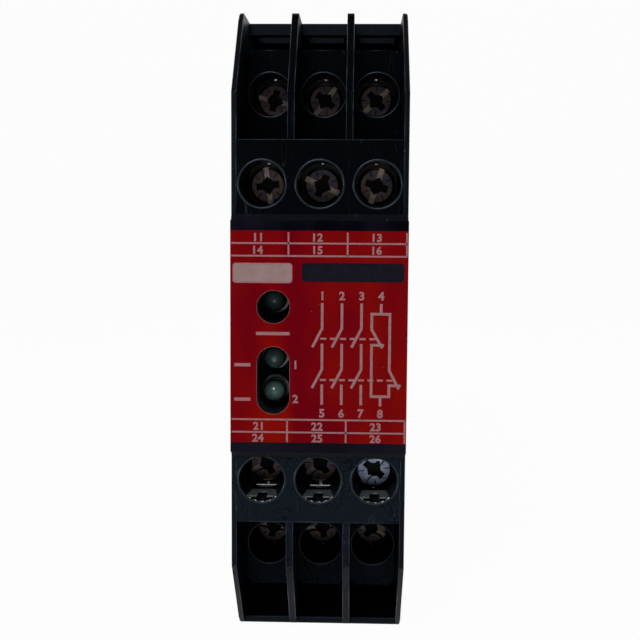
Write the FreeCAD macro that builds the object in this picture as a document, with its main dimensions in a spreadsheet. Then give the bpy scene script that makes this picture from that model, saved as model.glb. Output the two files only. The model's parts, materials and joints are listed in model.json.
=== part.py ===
import FreeCAD, Part

import math
import os
import re

import Sketcher

# A safety relay for a 35 mm top-hat rail: a slim black case with two stepped rows of screw
# terminals at each end, a raised front with a glossy label, and three lamps behind it.
#
# Frame: +Z up, the front looks along -Y, +X to the right. The origin is the middle of the face that
# bears on the rail. Depths are measured back from the front of the label, so a depth lies at
# y = depth - reach. All sizes are in millimetres.

SIZES = {
    # the case
    "case_width": 22.5,
    "case_height": 84.0,
    "reach": 113.0,          # label front to rail seat
    "heel": 5.0,             # rail seat to the back of the case
    "fin_wall": 0.65,        # side walls in front of the boards
    "side_wall": 1.2,        # side walls behind them
    "end_wall": 1.65,        # top and bottom walls
    "back_wall": 1.6,
    "wall_front": 19.5,      # depth of the front edges of the top and bottom walls
    "fin_slope": 11.4,       # height over which the fins slope back
    "fin_end": 10.6,         # depth of their tips
    "tip_radius": 1.6,
    "edge_radius": 0.3,
    "fit_gap": 0.05,         # between mouldings that push together
    # rail seat and latch
    "rail_height": 35.0,
    "rail_gap": 1.3,         # slot behind which a rail flange of 1 mm is held
    "rail_play": 0.2,
    "lip_grip": 3.1,         # how far the hooks reach over the flange
    "lip_lead": 1.6,
    "channel_floor": 0.8,
    "latch_width": 11.0,
    "latch_back": 0.3,       # how far the latch lies below the back of the case
    "latch_end": 0.8,        # how far it ends above the bottom of the case
    "latch_travel": 4.0,
    "slide_gap": 0.15,
    "rib_reach": 0.9,
    "rib_depth": 2.0,
    "rib_thick": 1.1,
    "peg_width": 3.6,
    "peg_thick": 1.8,
    "peg_inset": 5.6,        # distance of the peg's upper face above the bottom
    "window_width": 4.6,
    "spring_span": 10.5,
    "spring_width": 3.2,
    "spring_wire": 0.5,
    "spring_turns": 7.0,
    "eye_width": 5.0,
    "eye_height": 1.8,
    # cooling slots
    "vent_length": 11.0,
    "vent_width": 2.0,
    "vent_pitch": 5.0,
    "vent_start": 44.0,
    # front platform and label
    "label_overhang": 0.05,  # past the sides of the case
    "label_lap": 0.3,        # over the ends of the terminal covers, on average
    "label_drop": 0.4,       # its middle lies this far below the middle of the case
    "label_thick": 0.15,
    "bevel": 0.9,
    "bezel_skin": 1.3,
    "bezel_wall": 1.2,
    "bezel_back": 9.0,
    "lamp_collar": 0.9,
    "collar_back": 4.8,
    "hole_inset": 5.45,      # from the left side of the case to the lamp openings' middle
    "lamp_hole": 4.2,
    "power_hole_up": 3.5,
    "slot_low": 10.3,
    "slot_high": 1.6,
    # terminal steps
    "tier_one": 0.87,        # depth of the first step
    "tier_two": 14.76,       # depth of the second
    "step_inset": 17.35,     # from the end of the case to the end of the first step
    "floor_inset": 4.4,      # and of the second
    "cover_inset": 27.4,     # from the end of the case to the front platform
    "cover_wall": 1.0,
    "barrel_bridge": 1.37,   # between the driver holes of the first row
    "squeeze_one": 0.16,     # the first row's pitch is this much under a third of the case's width
    "squeeze_two": 0.14,
    "row_inset_one": 22.92,  # from the end of the case to the first row of screws
    "row_inset_two": 10.4,
    "fin_shift": 0.03,       # how far the inner fins stand outside the middle between columns
    "fin_thick": 0.92,
    "floor_corner": 0.7,
    "chamber_ceiling": 3.4,  # space over the clamp plane for the saddle to rise in
    "wire_width": 5.2,
    "wire_lintel": 0.1,
    "snap_height": 5.0,
    "snap_depth": 2.0,
    "snap_reach": 0.5,
    "snap_inset": 12.5,
    # clamps
    "clamp_one": 12.4,       # depth of the face under the screw heads of the first row
    "clamp_two": 25.0,
    "clamp_travel": 3.2,
    "backed_out": 2.9,       # the one loosened screw
    "head_width": 4.95,
    "head_height": 2.0,
    "thread_width": 3.0,
    "shank_length": 6.0,
    "slot_width": 0.8,
    "slot_depth": 0.9,
    "saddle_gap": 0.32,      # on each side of the saddle in its chamber
    "saddle_in": 3.0,
    "saddle_out": 3.5,
    "saddle_thick": 1.0,
    "saddle_tab": 0.6,
    "tab_length": 3.6,
    "turn_gap": 0.08,
    "thread_gap": 0.05,
    "tab_gap": 0.1,          # between the plate and the saddle's tabs
    "contact_thick": 1.2,
    "contact_out": 0.25,     # the plate ends this far inside its wire opening
    "contact_notch": 1.15,
    "notch_length": 0.6,
    "collar_step": 0.1,      # the collar is this much narrower than the plate
    "tail_width": 2.4,
    "tail_thick": 0.7,
    "tail_gap": 0.1,
    "pin_width": 0.9,
    "pin_out": 1.0,
    "pin_hole": 1.5,
    "base_shelf": 1.4,
    # boards and what they carry
    "board_at": 32.0,        # depth of the terminal board
    "board_thick": 1.6,
    "board_margin": 1.0,
    "pin_clearance": 0.19,   # between the left pins and the main board
    "main_board_back": 4.0,
    "guide_height": 2.0,
    "guide_thick": 0.7,
    "relay_length": 55.0,
    "relay_clearance": 1.55,     # between the relays and the side wall
    "relay_gap": 3.5,
    "relay_back": 11.0,
    "relay_edge": 0.8,
    "lamp_inset": 5.08,      # from the left side of the case to the lamps' middle
    "power_lamp_up": 3.76,
    "channel_one_down": 3.91,
    "channel_two_down": 8.52,
    "lamp_tip": 6.0,
    "lamp_width": 3.0,
    "lamp_length": 5.3,
    "lamp_rim": 3.8,
    "lamp_bevel": 0.7,
    "rim_thick": 1.0,
    "lead_thick": 0.5,
    "lead_spread": 2.54,
    "holder_width": 5.2,
    "holder_margin": 2.4,
    "capacitor_width": 10.0,
    "can_clearance": 2.05,   # between the capacitor and the side wall
    "varistor_width": 9.0,
    "varistor_thick": 4.0,
    "fuse_width": 8.4,
    "fuse_height": 7.6,
    "rectifier_length": 9.0,
    "rectifier_thick": 2.6,
    "chip_length": 17.9,
    "chip_width": 7.5,
    "chip_thick": 2.4,
    "part_inset": 14.0,      # from the end of the case to the small parts' rows
}

COLUMNS = {"left": -1, "middle": 0, "right": 1}

# Sizes that follow from others: levels from the ends of the case, columns from its sides.
TIED = {
    "fin_run": "case_height / 2 - fin_slope",
    "peg_level": "case_height / 2 - peg_inset",
    "step_height": "case_height / 2 - step_inset",
    "floor_end": "case_height / 2 - floor_inset",
    "cover_start": "case_height / 2 - cover_inset",
    "row_one": "case_height / 2 - row_inset_one",
    "row_two": "case_height / 2 - row_inset_two",
    "snap_level": "case_height / 2 - snap_inset",
    "part_row": "case_height / 2 - part_inset",
    "pitch_one": f"case_width / {len(COLUMNS)} - squeeze_one",
    "pitch_two": f"case_width / {len(COLUMNS)} - squeeze_two",
    "driver_hole": "pitch_one - barrel_bridge",
    "fin_across": "pitch_one / 2 + fin_shift",
    "saddle_width": "pitch_one - cover_wall - 2 * saddle_gap",
    "contact_width": "saddle_width - 2 * (saddle_tab + tab_gap)",
    "collar_width": "contact_width - collar_step",
    "hole_across": "case_width / 2 - hole_inset",
    "lamp_across": "case_width / 2 - lamp_inset",
    "label_width": "case_width + 2 * label_overhang",
    "label_height": "2 * (cover_start + label_lap)",
    "main_board_at": "pitch_two + pin_width / 2 + pin_clearance + board_thick",
    "board_room": "main_board_at - board_thick + case_width / 2 - side_wall",
    "relay_side": "board_room - relay_clearance",
    "capacitor_height": "board_room - can_clearance",
}

WORD = re.compile(r"[a-z]+(?:_[a-z]+)*")

# The turn of each screw's slot, in degrees from +X towards +Z, for the left, middle and right column.
SLOT_TURNS = {
    ("upper", "one"): (98.0, -23.5, 71.6),
    ("upper", "two"): (-13.0, 52.6, 43.0),
    ("lower", "one"): (27.6, 38.4, 52.0),
    ("lower", "two"): (-9.5, 10.0, -33.7),
}
LOOSE_SCREW = ("lower", "one", "right")
VENT_COUNT = 9
STEPS_PER_TURN = 8
WIRE_SIDES = 6

doc = FreeCAD.newDocument("safety_relay")
sheet = doc.addObject("Spreadsheet::Sheet", "dims")
CELLS = SIZES | {name: f"={formula}" for name, formula in TIED.items()}
for row, (name, value) in enumerate(CELLS.items(), start=1):
    sheet.set(f"A{row}", name)
    sheet.set(f"B{row}", str(value))
    sheet.setAlias(f"B{row}", name)
doc.recompute()


def bound(text):
    """Turn an expression in plain size names into one that reads the sheet."""
    return WORD.sub(lambda word: f"dims.{word[0]}" if word[0] in CELLS else word[0], str(text))


def new_body(name):
    """Start one sub-part; its label names its file."""
    body = doc.addObject("PartDesign::Body", name)
    body.Label = name
    return body


def sketch_on(body, name, role, offset="0"):
    """Attach a sketch to one of the body's own planes, an offset away along its normal."""
    made = body.newObject("Sketcher::SketchObject", f"{body.Name}_{name}")
    plane = next(item for item in body.Origin.OriginFeatures if item.Role == role)
    made.AttachmentSupport = [(plane, "")]
    made.MapMode = "FlatFace"
    made.setExpression("AttachmentOffset.Base.z", bound(offset))
    return made


def front_sketch(body, name, depth):
    """A sketch in X and Z at a depth behind the label's front, seen from the front."""
    return sketch_on(body, name, "XZ_Plane", f"reach - ({depth})")


def side_sketch(body, name, across="0"):
    """A sketch in Y and Z at a distance to the right of the middle."""
    return sketch_on(body, name, "YZ_Plane", across)


def top_sketch(body, name, up="0"):
    """A sketch in X and Y at a height above the middle."""
    return sketch_on(body, name, "XY_Plane", up)


def place_point(made, geometry, point, x, y):
    """Tie a sketch point to its two coordinates."""
    for kind, value in (("DistanceX", x), ("DistanceY", y)):
        index = made.addConstraint(Sketcher.Constraint(kind, -1, 1, geometry, point, 1.0))
        made.setExpression(f"Constraints[{index}]", bound(value))


def outline(made, points):
    """Draw a closed outline through points given as pairs of expressions."""
    first = made.GeometryCount
    count = len(points)
    corners = [FreeCAD.Vector(index % 5, index // 5, 0) for index in range(count + 1)]
    for start, end in zip(corners, corners[1:]):
        made.addGeometry(Part.LineSegment(start, end), False)
    for index in range(count):
        following = first + (index + 1) % count
        made.addConstraint(Sketcher.Constraint("Coincident", first + index, 2, following, 1))
    for index, (x, y) in enumerate(points):
        place_point(made, first + index, 1, x, y)


def rectangle(made, low_x, high_x, low_y, high_y):
    """Draw an upright rectangle between two pairs of limits."""
    outline(made, [(low_x, low_y), (high_x, low_y), (high_x, high_y), (low_x, high_y)])


def square(made, x, y, width):
    """Draw an upright square of a given width about a point."""
    rectangle(made, f"{x} - {width} / 2", f"{x} + {width} / 2", f"{y} - {width} / 2", f"{y} + {width} / 2")


def disc(made, x, y, width):
    """Draw a circle of a given width."""
    index = made.addGeometry(Part.Circle(FreeCAD.Vector(1, 1, 0), FreeCAD.Vector(0, 0, 1), 1), False)
    place_point(made, index, 3, x, y)
    limit = made.addConstraint(Sketcher.Constraint("Diameter", index, 2.0))
    made.setExpression(f"Constraints[{limit}]", bound(width))


def eight_sided(made, x, y, half):
    """Draw an eight-sided hole about a point, its flats a given distance from the middle."""
    short = f"({half}) * {math.tan(math.pi / 8):.5f}"
    minus_half, minus_short = f"-({half})", f"-{short}"
    corners = [(half, short), (short, half), (minus_short, half), (minus_half, short),
               (minus_half, minus_short), (minus_short, minus_half), (short, minus_half), (half, minus_short)]
    outline(made, [(f"{x} + {across}", f"{y} + {up}") for across, up in corners])


def extrude(body, kind, made, length, back=False, both=False):
    """Pad or pocket a sketch; a length of None goes right through."""
    feature = body.newObject(f"PartDesign::{kind}", f"{made.Name}_{kind.lower()}")
    feature.Profile = made
    feature.Reversed = back
    if both:
        feature.SideType = "Symmetric"
    if length is None:
        feature.Type = "ThroughAll"
    else:
        feature.setExpression("Length", bound(length))
    made.Visibility = False
    return feature


def pad(body, made, length, back=False, both=False):
    """Add material along the sketch's normal, or against it with back."""
    return extrude(body, "Pad", made, length, back, both)


def pocket(body, made, length=None, back=False, both=False):
    """Remove material against the sketch's normal, or along it with back."""
    return extrude(body, "Pocket", made, length, back, both)


def dress(body, kind, amount, wanted):
    """Fillet or chamfer the edges of the body's tip that a test picks."""
    doc.recompute()
    base = body.Tip
    names = [f"Edge{number}" for number, edge in enumerate(base.Shape.Edges, 1) if wanted(edge)]
    feature = body.newObject(f"PartDesign::{kind}", f"{body.Name}_{kind.lower()}_{len(body.Group)}")
    feature.Base = (base, names)
    feature.setExpression("Radius" if kind == "Fillet" else "Size", bound(amount))
    return feature


def size(name):
    """Read one size from the sheet."""
    return float(getattr(sheet, name))


def near(first, second):
    """Whether two lengths are the same within a hundredth of a millimetre."""
    return abs(first - second) < 0.01


def depth(text):
    """The Y of a depth behind the label's front."""
    return f"{text} - reach"


def ends(edge, test):
    """Whether a test holds at every end of an edge."""
    return all(test(vertex.Point) for vertex in edge.Vertexes)


def make_housing():
    """The case: a box open at the front, its side walls drawn out into the outer fins."""
    body = new_body("housing")
    hook = "rail_height / 2 - lip_grip"
    seat = "rail_height / 2 + rail_play"
    inside = "case_height / 2 - end_wall"
    room = "board_at + board_thick"
    side = side_sketch(body, "outline")
    outline(side, [
        (depth("tier_one"), "-fin_run"),
        (depth("tier_one"), "fin_run"),
        (depth("fin_end"), "case_height / 2"),
        ("heel", "case_height / 2"),
        ("heel", f"{hook} + lip_lead"),
        ("heel - lip_lead", hook),
        ("rail_gap", hook),
        ("rail_gap", seat),
        ("0", seat),
        ("0", f"-({seat})"),
        ("heel", f"-({seat})"),
        ("heel", "-case_height / 2"),
        (depth("fin_end"), "-case_height / 2"),
    ])
    pad(body, side, "case_width", both=True)
    front_room = side_sketch(body, "front_room")
    outline(front_room, [
        (depth("0"), "-case_height"),
        (depth("wall_front"), "-case_height"),
        (depth("wall_front"), f"-({inside})"),
        (depth(room), f"-({inside})"),
        (depth(room), inside),
        (depth("wall_front"), inside),
        (depth("wall_front"), "case_height"),
        (depth("0"), "case_height"),
    ])
    pocket(body, front_room, "case_width - 2 * fin_wall", both=True)
    rear_room = side_sketch(body, "rear_room")
    outline(rear_room, [
        (depth("board_at"), f"-({inside})"),
        ("-back_wall", f"-({inside})"),
        ("-back_wall", f"{seat} + back_wall"),
        ("heel - back_wall", f"{seat} + back_wall"),
        ("heel - back_wall", inside),
        (depth("board_at"), inside),
    ])
    pocket(body, rear_room, "case_width - 2 * side_wall", both=True)
    add_latch_channel(body)
    wire = top_sketch(body, "wire_openings", "case_height / 2")
    for column in COLUMNS.values():
        middle = f"{column} * pitch_two"
        rectangle(wire, f"{middle} - wire_width / 2", f"{middle} + wire_width / 2",
                  depth("clamp_two - chamber_ceiling + wire_lintel"),
                  depth("clamp_two + saddle_thick + contact_thick"))
    pocket(body, wire)
    snaps = side_sketch(body, "snap_windows")
    for sign in ("", "-"):
        rectangle(snaps, depth("tier_two + snap_depth - fit_gap"),
                  depth("tier_two + 2 * snap_depth + fit_gap"),
                  f"{sign}(snap_level - snap_height / 2 - fit_gap)",
                  f"{sign}(snap_level + snap_height / 2 + fit_gap)")
    pocket(body, snaps, "case_width + 1", both=True)
    add_card_guides(body)
    tip = size("case_height") / 2
    tip_y = size("fin_end") - size("reach")
    dress(body, "Fillet", "tip_radius", lambda edge: ends(
        edge, lambda point: near(abs(point.z), tip) and near(point.y, tip_y)))
    flank = size("case_width") / 2
    wall_y = size("wall_front") - size("reach")
    dress(body, "Fillet", "edge_radius", lambda edge: ends(
        edge, lambda point: near(abs(point.x), flank) and point.y < tip_y + 0.01
        and abs(point.z) < tip - size("tip_radius") / 4) and edge.BoundBox.YMax < wall_y)
    add_vents(body)
    return body


def add_latch_channel(body):
    """The T-shaped channel for the latch, and the peg on which its spring stands."""
    half = "latch_width / 2 + slide_gap"
    wide = f"{half} + rib_reach"
    low = "rib_depth - slide_gap"
    high = "rib_depth + rib_thick + slide_gap"
    channel = top_sketch(body, "channel", "-case_height / 2")
    outline(channel, [
        (f"-({half})", "heel + 1"),
        (f"-({half})", high),
        (f"-({wide})", high),
        (f"-({wide})", low),
        (f"-({half})", low),
        (f"-({half})", "channel_floor"),
        (half, "channel_floor"),
        (half, low),
        (wide, low),
        (wide, high),
        (half, high),
        (half, "heel + 1"),
    ])
    pocket(body, channel, "case_height / 2 - rail_height / 2", back=True)
    peg = sketch_on(body, "peg", "XZ_Plane", "-channel_floor")
    rectangle(peg, "-peg_width / 2", "peg_width / 2", "-peg_level - peg_thick", "-peg_level")
    pad(body, peg, "heel - latch_back - channel_floor", back=True)


def add_card_guides(body):
    """Pairs of ribs on the end walls between which the main board slides in."""
    inside = "case_height / 2 - end_wall"
    guides = sketch_on(body, "card_guides", "XZ_Plane", "back_wall")
    edges = ("-main_board_at - fit_gap", "-main_board_at + board_thick + fit_gap")
    for sign in ("", "-"):
        rectangle(guides, f"{edges[0]} - guide_thick", edges[0],
                  f"{sign}({inside} - guide_height)", f"{sign}({inside})")
        rectangle(guides, edges[1], f"{edges[1]} + guide_thick",
                  f"{sign}({inside} - guide_height)", f"{sign}({inside})")
    pad(body, guides, "reach - back_wall - board_at - board_thick")


def add_vents(body):
    """Rows of cooling slots through the top and bottom walls."""
    slot = top_sketch(body, "vent", "case_height / 2")
    rectangle(slot, "-vent_length / 2", "vent_length / 2",
              depth("vent_start"), depth("vent_start + vent_width"))
    first = pocket(body, slot)
    row = body.newObject("PartDesign::LinearPattern", "vent_row")
    row.Originals = [first]
    row.Direction = (slot, ["V_Axis"])
    row.Occurrences = VENT_COUNT
    row.setExpression("Length", bound(f"vent_pitch * {VENT_COUNT - 1}"))
    body.Tip = row


def make_cover(name):
    """A terminal cover for one end: driver barrels, clamp chambers, wire openings and inner fins."""
    body = new_body(name)
    shelf_one = "clamp_one + saddle_thick + contact_thick"
    shelf_two = "clamp_two + saddle_thick + contact_thick"
    back = f"{shelf_two} + base_shelf"
    half_width = "case_width / 2 - fin_wall - fit_gap"
    inner = "cover_start + cover_wall"
    riser = "step_height - cover_wall - fit_gap"
    outer = "floor_end - cover_wall"
    side = side_sketch(body, "outline")
    outline(side, [
        (depth("tier_one"), "cover_start"),
        (depth("tier_one"), "step_height"),
        (depth("tier_two"), "step_height"),
        (depth("tier_two"), "floor_end"),
        (depth(back), "floor_end"),
        (depth(back), outer),
        (depth(shelf_two), outer),
        (depth(shelf_two), riser),
        (depth(shelf_one), riser),
        (depth(shelf_one), inner),
        (depth(back), inner),
        (depth(back), "cover_start"),
    ])
    pad(body, side, f"2 * ({half_width})", both=True)
    chamber_half = "fin_across - cover_wall / 2"
    tiers = (
        ("one", "clamp_one", shelf_one, inner, riser),
        ("two", "clamp_two", shelf_two, "step_height + cover_wall", outer),
    )
    for tier, clamp, shelf, low, high in tiers:
        chambers = front_sketch(body, f"chambers_{tier}", shelf)
        rectangle(chambers, f"-({chamber_half})", chamber_half, low, high)
        for sign in ("", "-"):
            rectangle(chambers, f"{sign}(fin_across + cover_wall / 2)", f"{sign}case_width / 2",
                      low, high)
        pocket(body, chambers, f"{shelf} - ({clamp} - chamber_ceiling)", back=True)
        barrels = front_sketch(body, f"barrels_{tier}", f"tier_{tier}")
        for column in COLUMNS.values():
            disc(barrels, f"{column} * pitch_{tier}", f"row_{tier}", "driver_hole")
        pocket(body, barrels, f"{clamp} - chamber_ceiling - tier_{tier} + cover_wall / 4")
    corners = front_sketch(body, "floor_corners", "tier_two")
    flanks = ("fin_across - fin_thick / 2", "fin_across + fin_thick / 2", half_width)
    for sign in ("", "-"):
        for flank, turn in zip(flanks, ("-", "+", "-")):
            outline(corners, [
                (f"{sign}({flank})", "floor_end + fit_gap"),
                (f"{sign}({flank} {turn} floor_corner)", "floor_end + fit_gap"),
                (f"{sign}({flank} {turn} floor_corner)", "floor_end"),
                (f"{sign}({flank})", "floor_end - floor_corner"),
            ])
    pocket(body, corners, "clamp_two - chamber_ceiling - tier_two")
    doors = (("one", "step_height", "clamp_one", "tier_two"), ("two", "floor_end", "clamp_two", shelf_two))
    for tier, wall, clamp, bottom in doors:
        door = top_sketch(body, f"wire_openings_{tier}", wall)
        for column in COLUMNS.values():
            middle = f"{column} * pitch_{tier}"
            rectangle(door, f"{middle} - wire_width / 2", f"{middle} + wire_width / 2",
                      depth(f"{clamp} - chamber_ceiling + wire_lintel"), depth(bottom))
        pocket(body, door, "cover_wall + 2 * fit_gap")
    for sign, label in (("-", "left"), ("", "right")):
        fin = side_sketch(body, f"fin_{label}", f"{sign}fin_across")
        outline(fin, [
            (depth("tier_one"), "step_height - cover_wall / 2"),
            (depth("tier_one"), "fin_run"),
            (depth("fin_end"), "case_height / 2"),
            (depth("wall_front - fit_gap"), "case_height / 2"),
            (depth("wall_front - fit_gap"), "floor_end"),
            (depth("tier_two + cover_wall"), "floor_end"),
            (depth("tier_two + cover_wall"), "step_height - cover_wall / 2"),
        ])
        pad(body, fin, "fin_thick", both=True)
    for sign, label in (("-", "left"), ("", "right")):
        lug = side_sketch(body, f"snap_{label}", f"{sign}({half_width})")
        rectangle(lug, depth("tier_two + snap_depth"), depth("tier_two + 2 * snap_depth"),
                  "snap_level - snap_height / 2", "snap_level + snap_height / 2")
        pad(body, lug, "snap_reach", back=sign == "-")
    tip = size("case_height") / 2
    tip_y = size("fin_end") - size("reach")
    dress(body, "Fillet", "tip_radius", lambda edge: ends(
        edge, lambda point: near(point.z, tip) and near(point.y, tip_y)))
    return body


def turned_over(body, turned):
    """Turn a piece for the lower end half a turn about the Y axis."""
    if turned:
        half_turn = FreeCAD.Rotation(FreeCAD.Vector(0, 1, 0), 180)
        body.Placement = FreeCAD.Placement(FreeCAD.Vector(0, 0, 0), half_turn)


def make_base(name):
    """The stepped moulding that carries one end's contact plates on the terminal board."""
    body = new_body(name)
    shelf_one = "clamp_one + saddle_thick + contact_thick"
    shelf_two = "clamp_two + saddle_thick + contact_thick"
    start = "cover_start + cover_wall + 2 * tail_gap + tail_thick"
    riser = "step_height - cover_wall - 3 * fit_gap"
    outer = "floor_end - cover_wall - fit_gap"
    side = side_sketch(body, "outline")
    outline(side, [
        (depth(shelf_one), start),
        (depth(shelf_one), riser),
        (depth(shelf_two), riser),
        (depth(shelf_two), outer),
        (depth("board_at"), outer),
        (depth("board_at"), f"{outer} - base_shelf"),
        (depth(f"{shelf_two} + base_shelf"), f"{outer} - base_shelf"),
        (depth(f"{shelf_two} + base_shelf"), f"{riser} - base_shelf"),
        (depth(f"{shelf_one} + base_shelf"), f"{riser} - base_shelf"),
        (depth(f"{shelf_one} + base_shelf"), f"{start} + base_shelf / 2"),
        (depth("board_at"), f"{start} + base_shelf / 2"),
        (depth("board_at"), start),
    ])
    pad(body, side, "case_width - 2 * fin_wall - 2 * fit_gap", both=True)
    for tier, shelf in (("one", shelf_one), ("two", shelf_two)):
        holes = front_sketch(body, f"collar_holes_{tier}", shelf)
        for column in COLUMNS.values():
            middle = f"{column} * pitch_{tier}"
            reach_out = "(collar_width / 2 + fit_gap)"
            rectangle(holes, f"{middle} - {reach_out}", f"{middle} + {reach_out}",
                      f"row_{tier} - {reach_out}", f"row_{tier} + {reach_out}")
        pocket(body, holes, "base_shelf")
    slots = front_sketch(body, "tail_slots", shelf_two)
    for column in COLUMNS.values():
        middle = f"{column} * pitch_two"
        rectangle(slots, f"{middle} - tail_width / 2 - tail_gap", f"{middle} + tail_width / 2 + tail_gap",
                  "step_height + cover_wall", "step_height + cover_wall + 2 * tail_gap + tail_thick")
    pocket(body, slots, "base_shelf")
    return body


def make_contact(name, tier, column):
    """A contact plate: threaded collar under the screw, notched tongue at the wire, tail to the board."""
    body = new_body(name)
    clamp = f"clamp_{tier}"
    row_up = f"row_{tier}"
    middle = f"{column} * pitch_{tier}"
    inner = {"one": "cover_start + cover_wall + tail_gap", "two": "step_height + cover_wall + tail_gap"}[tier]
    wall = {"one": "step_height", "two": "floor_end"}[tier]
    outer = f"{wall} - contact_out"
    front = f"{clamp} + saddle_thick"
    back = f"{front} + contact_thick"
    plate = front_sketch(body, "plate", back)
    half = "contact_width / 2"
    notch = "contact_notch / 2"
    outline(plate, [
        (f"{middle} - {half}", inner),
        (f"{middle} + {half}", inner),
        (f"{middle} + {half}", outer),
        (f"{middle} + {notch}", outer),
        (f"{middle} + {notch}", f"{outer} - notch_length"),
        (f"{middle} - {notch}", f"{outer} - notch_length"),
        (f"{middle} - {notch}", outer),
        (f"{middle} - {half}", outer),
    ])
    pad(body, plate, "contact_thick")
    collar = front_sketch(body, "collar", back)
    rectangle(collar, f"{middle} - collar_width / 2", f"{middle} + collar_width / 2",
              f"{row_up} - collar_width / 2", f"{row_up} + collar_width / 2")
    pad(body, collar, "base_shelf", back=True)
    tail = side_sketch(body, "tail", middle)
    rectangle(tail, depth(f"{back} - contact_thick / 2"), depth("board_at"), inner, f"{inner} + tail_thick")
    pad(body, tail, "tail_width", both=True)
    pin = side_sketch(body, "pin", middle)
    rectangle(pin, depth("board_at - tail_thick"), depth("board_at + board_thick + pin_out"),
              inner, f"{inner} + tail_thick")
    pad(body, pin, "pin_width", both=True)
    bore = front_sketch(body, "thread", front)
    eight_sided(bore, middle, row_up, "thread_width / 2 + thread_gap")
    pocket(body, bore, "contact_thick + base_shelf + 1")
    return body


def make_saddle(name):
    """A clamp saddle: a plate under the screw head with two tabs beside the contact plate.

    It is drawn about the screw axis, with the face under the head at y = 0 and the wire side up.
    """
    body = new_body(name)
    plate = sketch_on(body, "plate", "XZ_Plane")
    rectangle(plate, "-saddle_width / 2", "saddle_width / 2", "-saddle_in", "saddle_out")
    pad(body, plate, "saddle_thick", back=True)
    tabs = sketch_on(body, "tabs", "XZ_Plane", "-saddle_thick")
    for sign in ("", "-"):
        rectangle(tabs, f"{sign}(saddle_width / 2 - saddle_tab)", f"{sign}saddle_width / 2",
                  "-tab_length / 2", "tab_length / 2")
    pad(body, tabs, "contact_thick - tail_gap", back=True)
    bore = sketch_on(body, "bore", "XZ_Plane")
    eight_sided(bore, "0", "0", "thread_width / 2 + turn_gap")
    pocket(body, bore, "saddle_thick")
    return body


def make_screw(name):
    """A clamp screw drawn about the Y axis, its seat at y = 0 and its slot along X."""
    body = new_body(name)
    half = sketch_on(body, "half", "XY_Plane")
    outline(half, [
        ("0", "-head_height"),
        ("head_width / 2", "-head_height"),
        ("head_width / 2", "0"),
        ("thread_width / 2", "0"),
        ("thread_width / 2", "shank_length"),
        ("0", "shank_length"),
    ])
    feature = body.newObject("PartDesign::Revolution", f"{half.Name}_turned")
    feature.Profile = half
    feature.ReferenceAxis = (half, ["V_Axis"])
    feature.Angle = 360.0
    slot = sketch_on(body, "slot", "XZ_Plane", "head_height")
    rectangle(slot, "-head_width", "head_width", "-slot_width / 2", "slot_width / 2")
    pocket(body, slot, "slot_depth")
    return body


def place_clamp(body, end, tier, column, name, turn=0.0):
    """Put a saddle or screw on its axis; the loosened one stands out with its saddle."""
    sign = {"upper": "", "lower": "-"}[end]
    out = "backed_out" if (end, tier, name) == LOOSE_SCREW else "0"
    over = FreeCAD.Rotation(FreeCAD.Vector(0, 1, 0), 180 if end == "lower" else 0)
    spin = FreeCAD.Rotation(FreeCAD.Vector(0, -1, 0), turn)
    body.Placement = FreeCAD.Placement(FreeCAD.Vector(0, 0, 0), spin.multiply(over))
    body.setExpression("Placement.Base.x", bound(f"{column} * pitch_{tier}"))
    body.setExpression("Placement.Base.y", bound(depth(f"clamp_{tier} - {out}")))
    body.setExpression("Placement.Base.z", bound(f"{sign}row_{tier}"))


def make_clamps():
    """Every terminal's screw, saddle and contact plate."""
    made = []
    for end in ("upper", "lower"):
        for tier in ("one", "two"):
            for (name, column), turn in zip(COLUMNS.items(), SLOT_TURNS[end, tier]):
                tag = f"{end}_{tier}_{name}"
                screw = make_screw(f"screw_{tag}")
                place_clamp(screw, end, tier, column, name, turn - (180 if end == "lower" else 0))
                saddle = make_saddle(f"saddle_{tag}")
                place_clamp(saddle, end, tier, column, name)
                drawn = column if end == "upper" else -column
                contact = make_contact(f"contact_{tag}", tier, drawn)
                turned_over(contact, end == "lower")
                made += [screw, saddle, contact]
    return made


def lamp_openings(made, grow="0"):
    """Draw the round opening for one lamp and the long one for two, grown by a margin."""
    disc(made, "-hole_across", "power_hole_up", f"lamp_hole + 2 * ({grow})")
    rectangle(made, f"-hole_across - lamp_hole / 2 - ({grow})", f"-hole_across + lamp_hole / 2 + ({grow})",
              f"-slot_low - ({grow})", f"-slot_high + ({grow})")


def round_slot(body, radius):
    """Round the long opening's corners to the width of the slot."""
    left = -size("hole_across") - size("lamp_hole") / 2
    right = left + size("lamp_hole")
    low = -size("slot_low")
    high = -size("slot_high")
    dress(body, "Fillet", radius, lambda edge: len(edge.Vertexes) == 2 and ends(
        edge, lambda point: (near(point.x, left) or near(point.x, right))
        and (near(point.z, low) or near(point.z, high)))
        and edge.BoundBox.XLength < 0.01 and edge.BoundBox.ZLength < 0.01)


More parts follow.
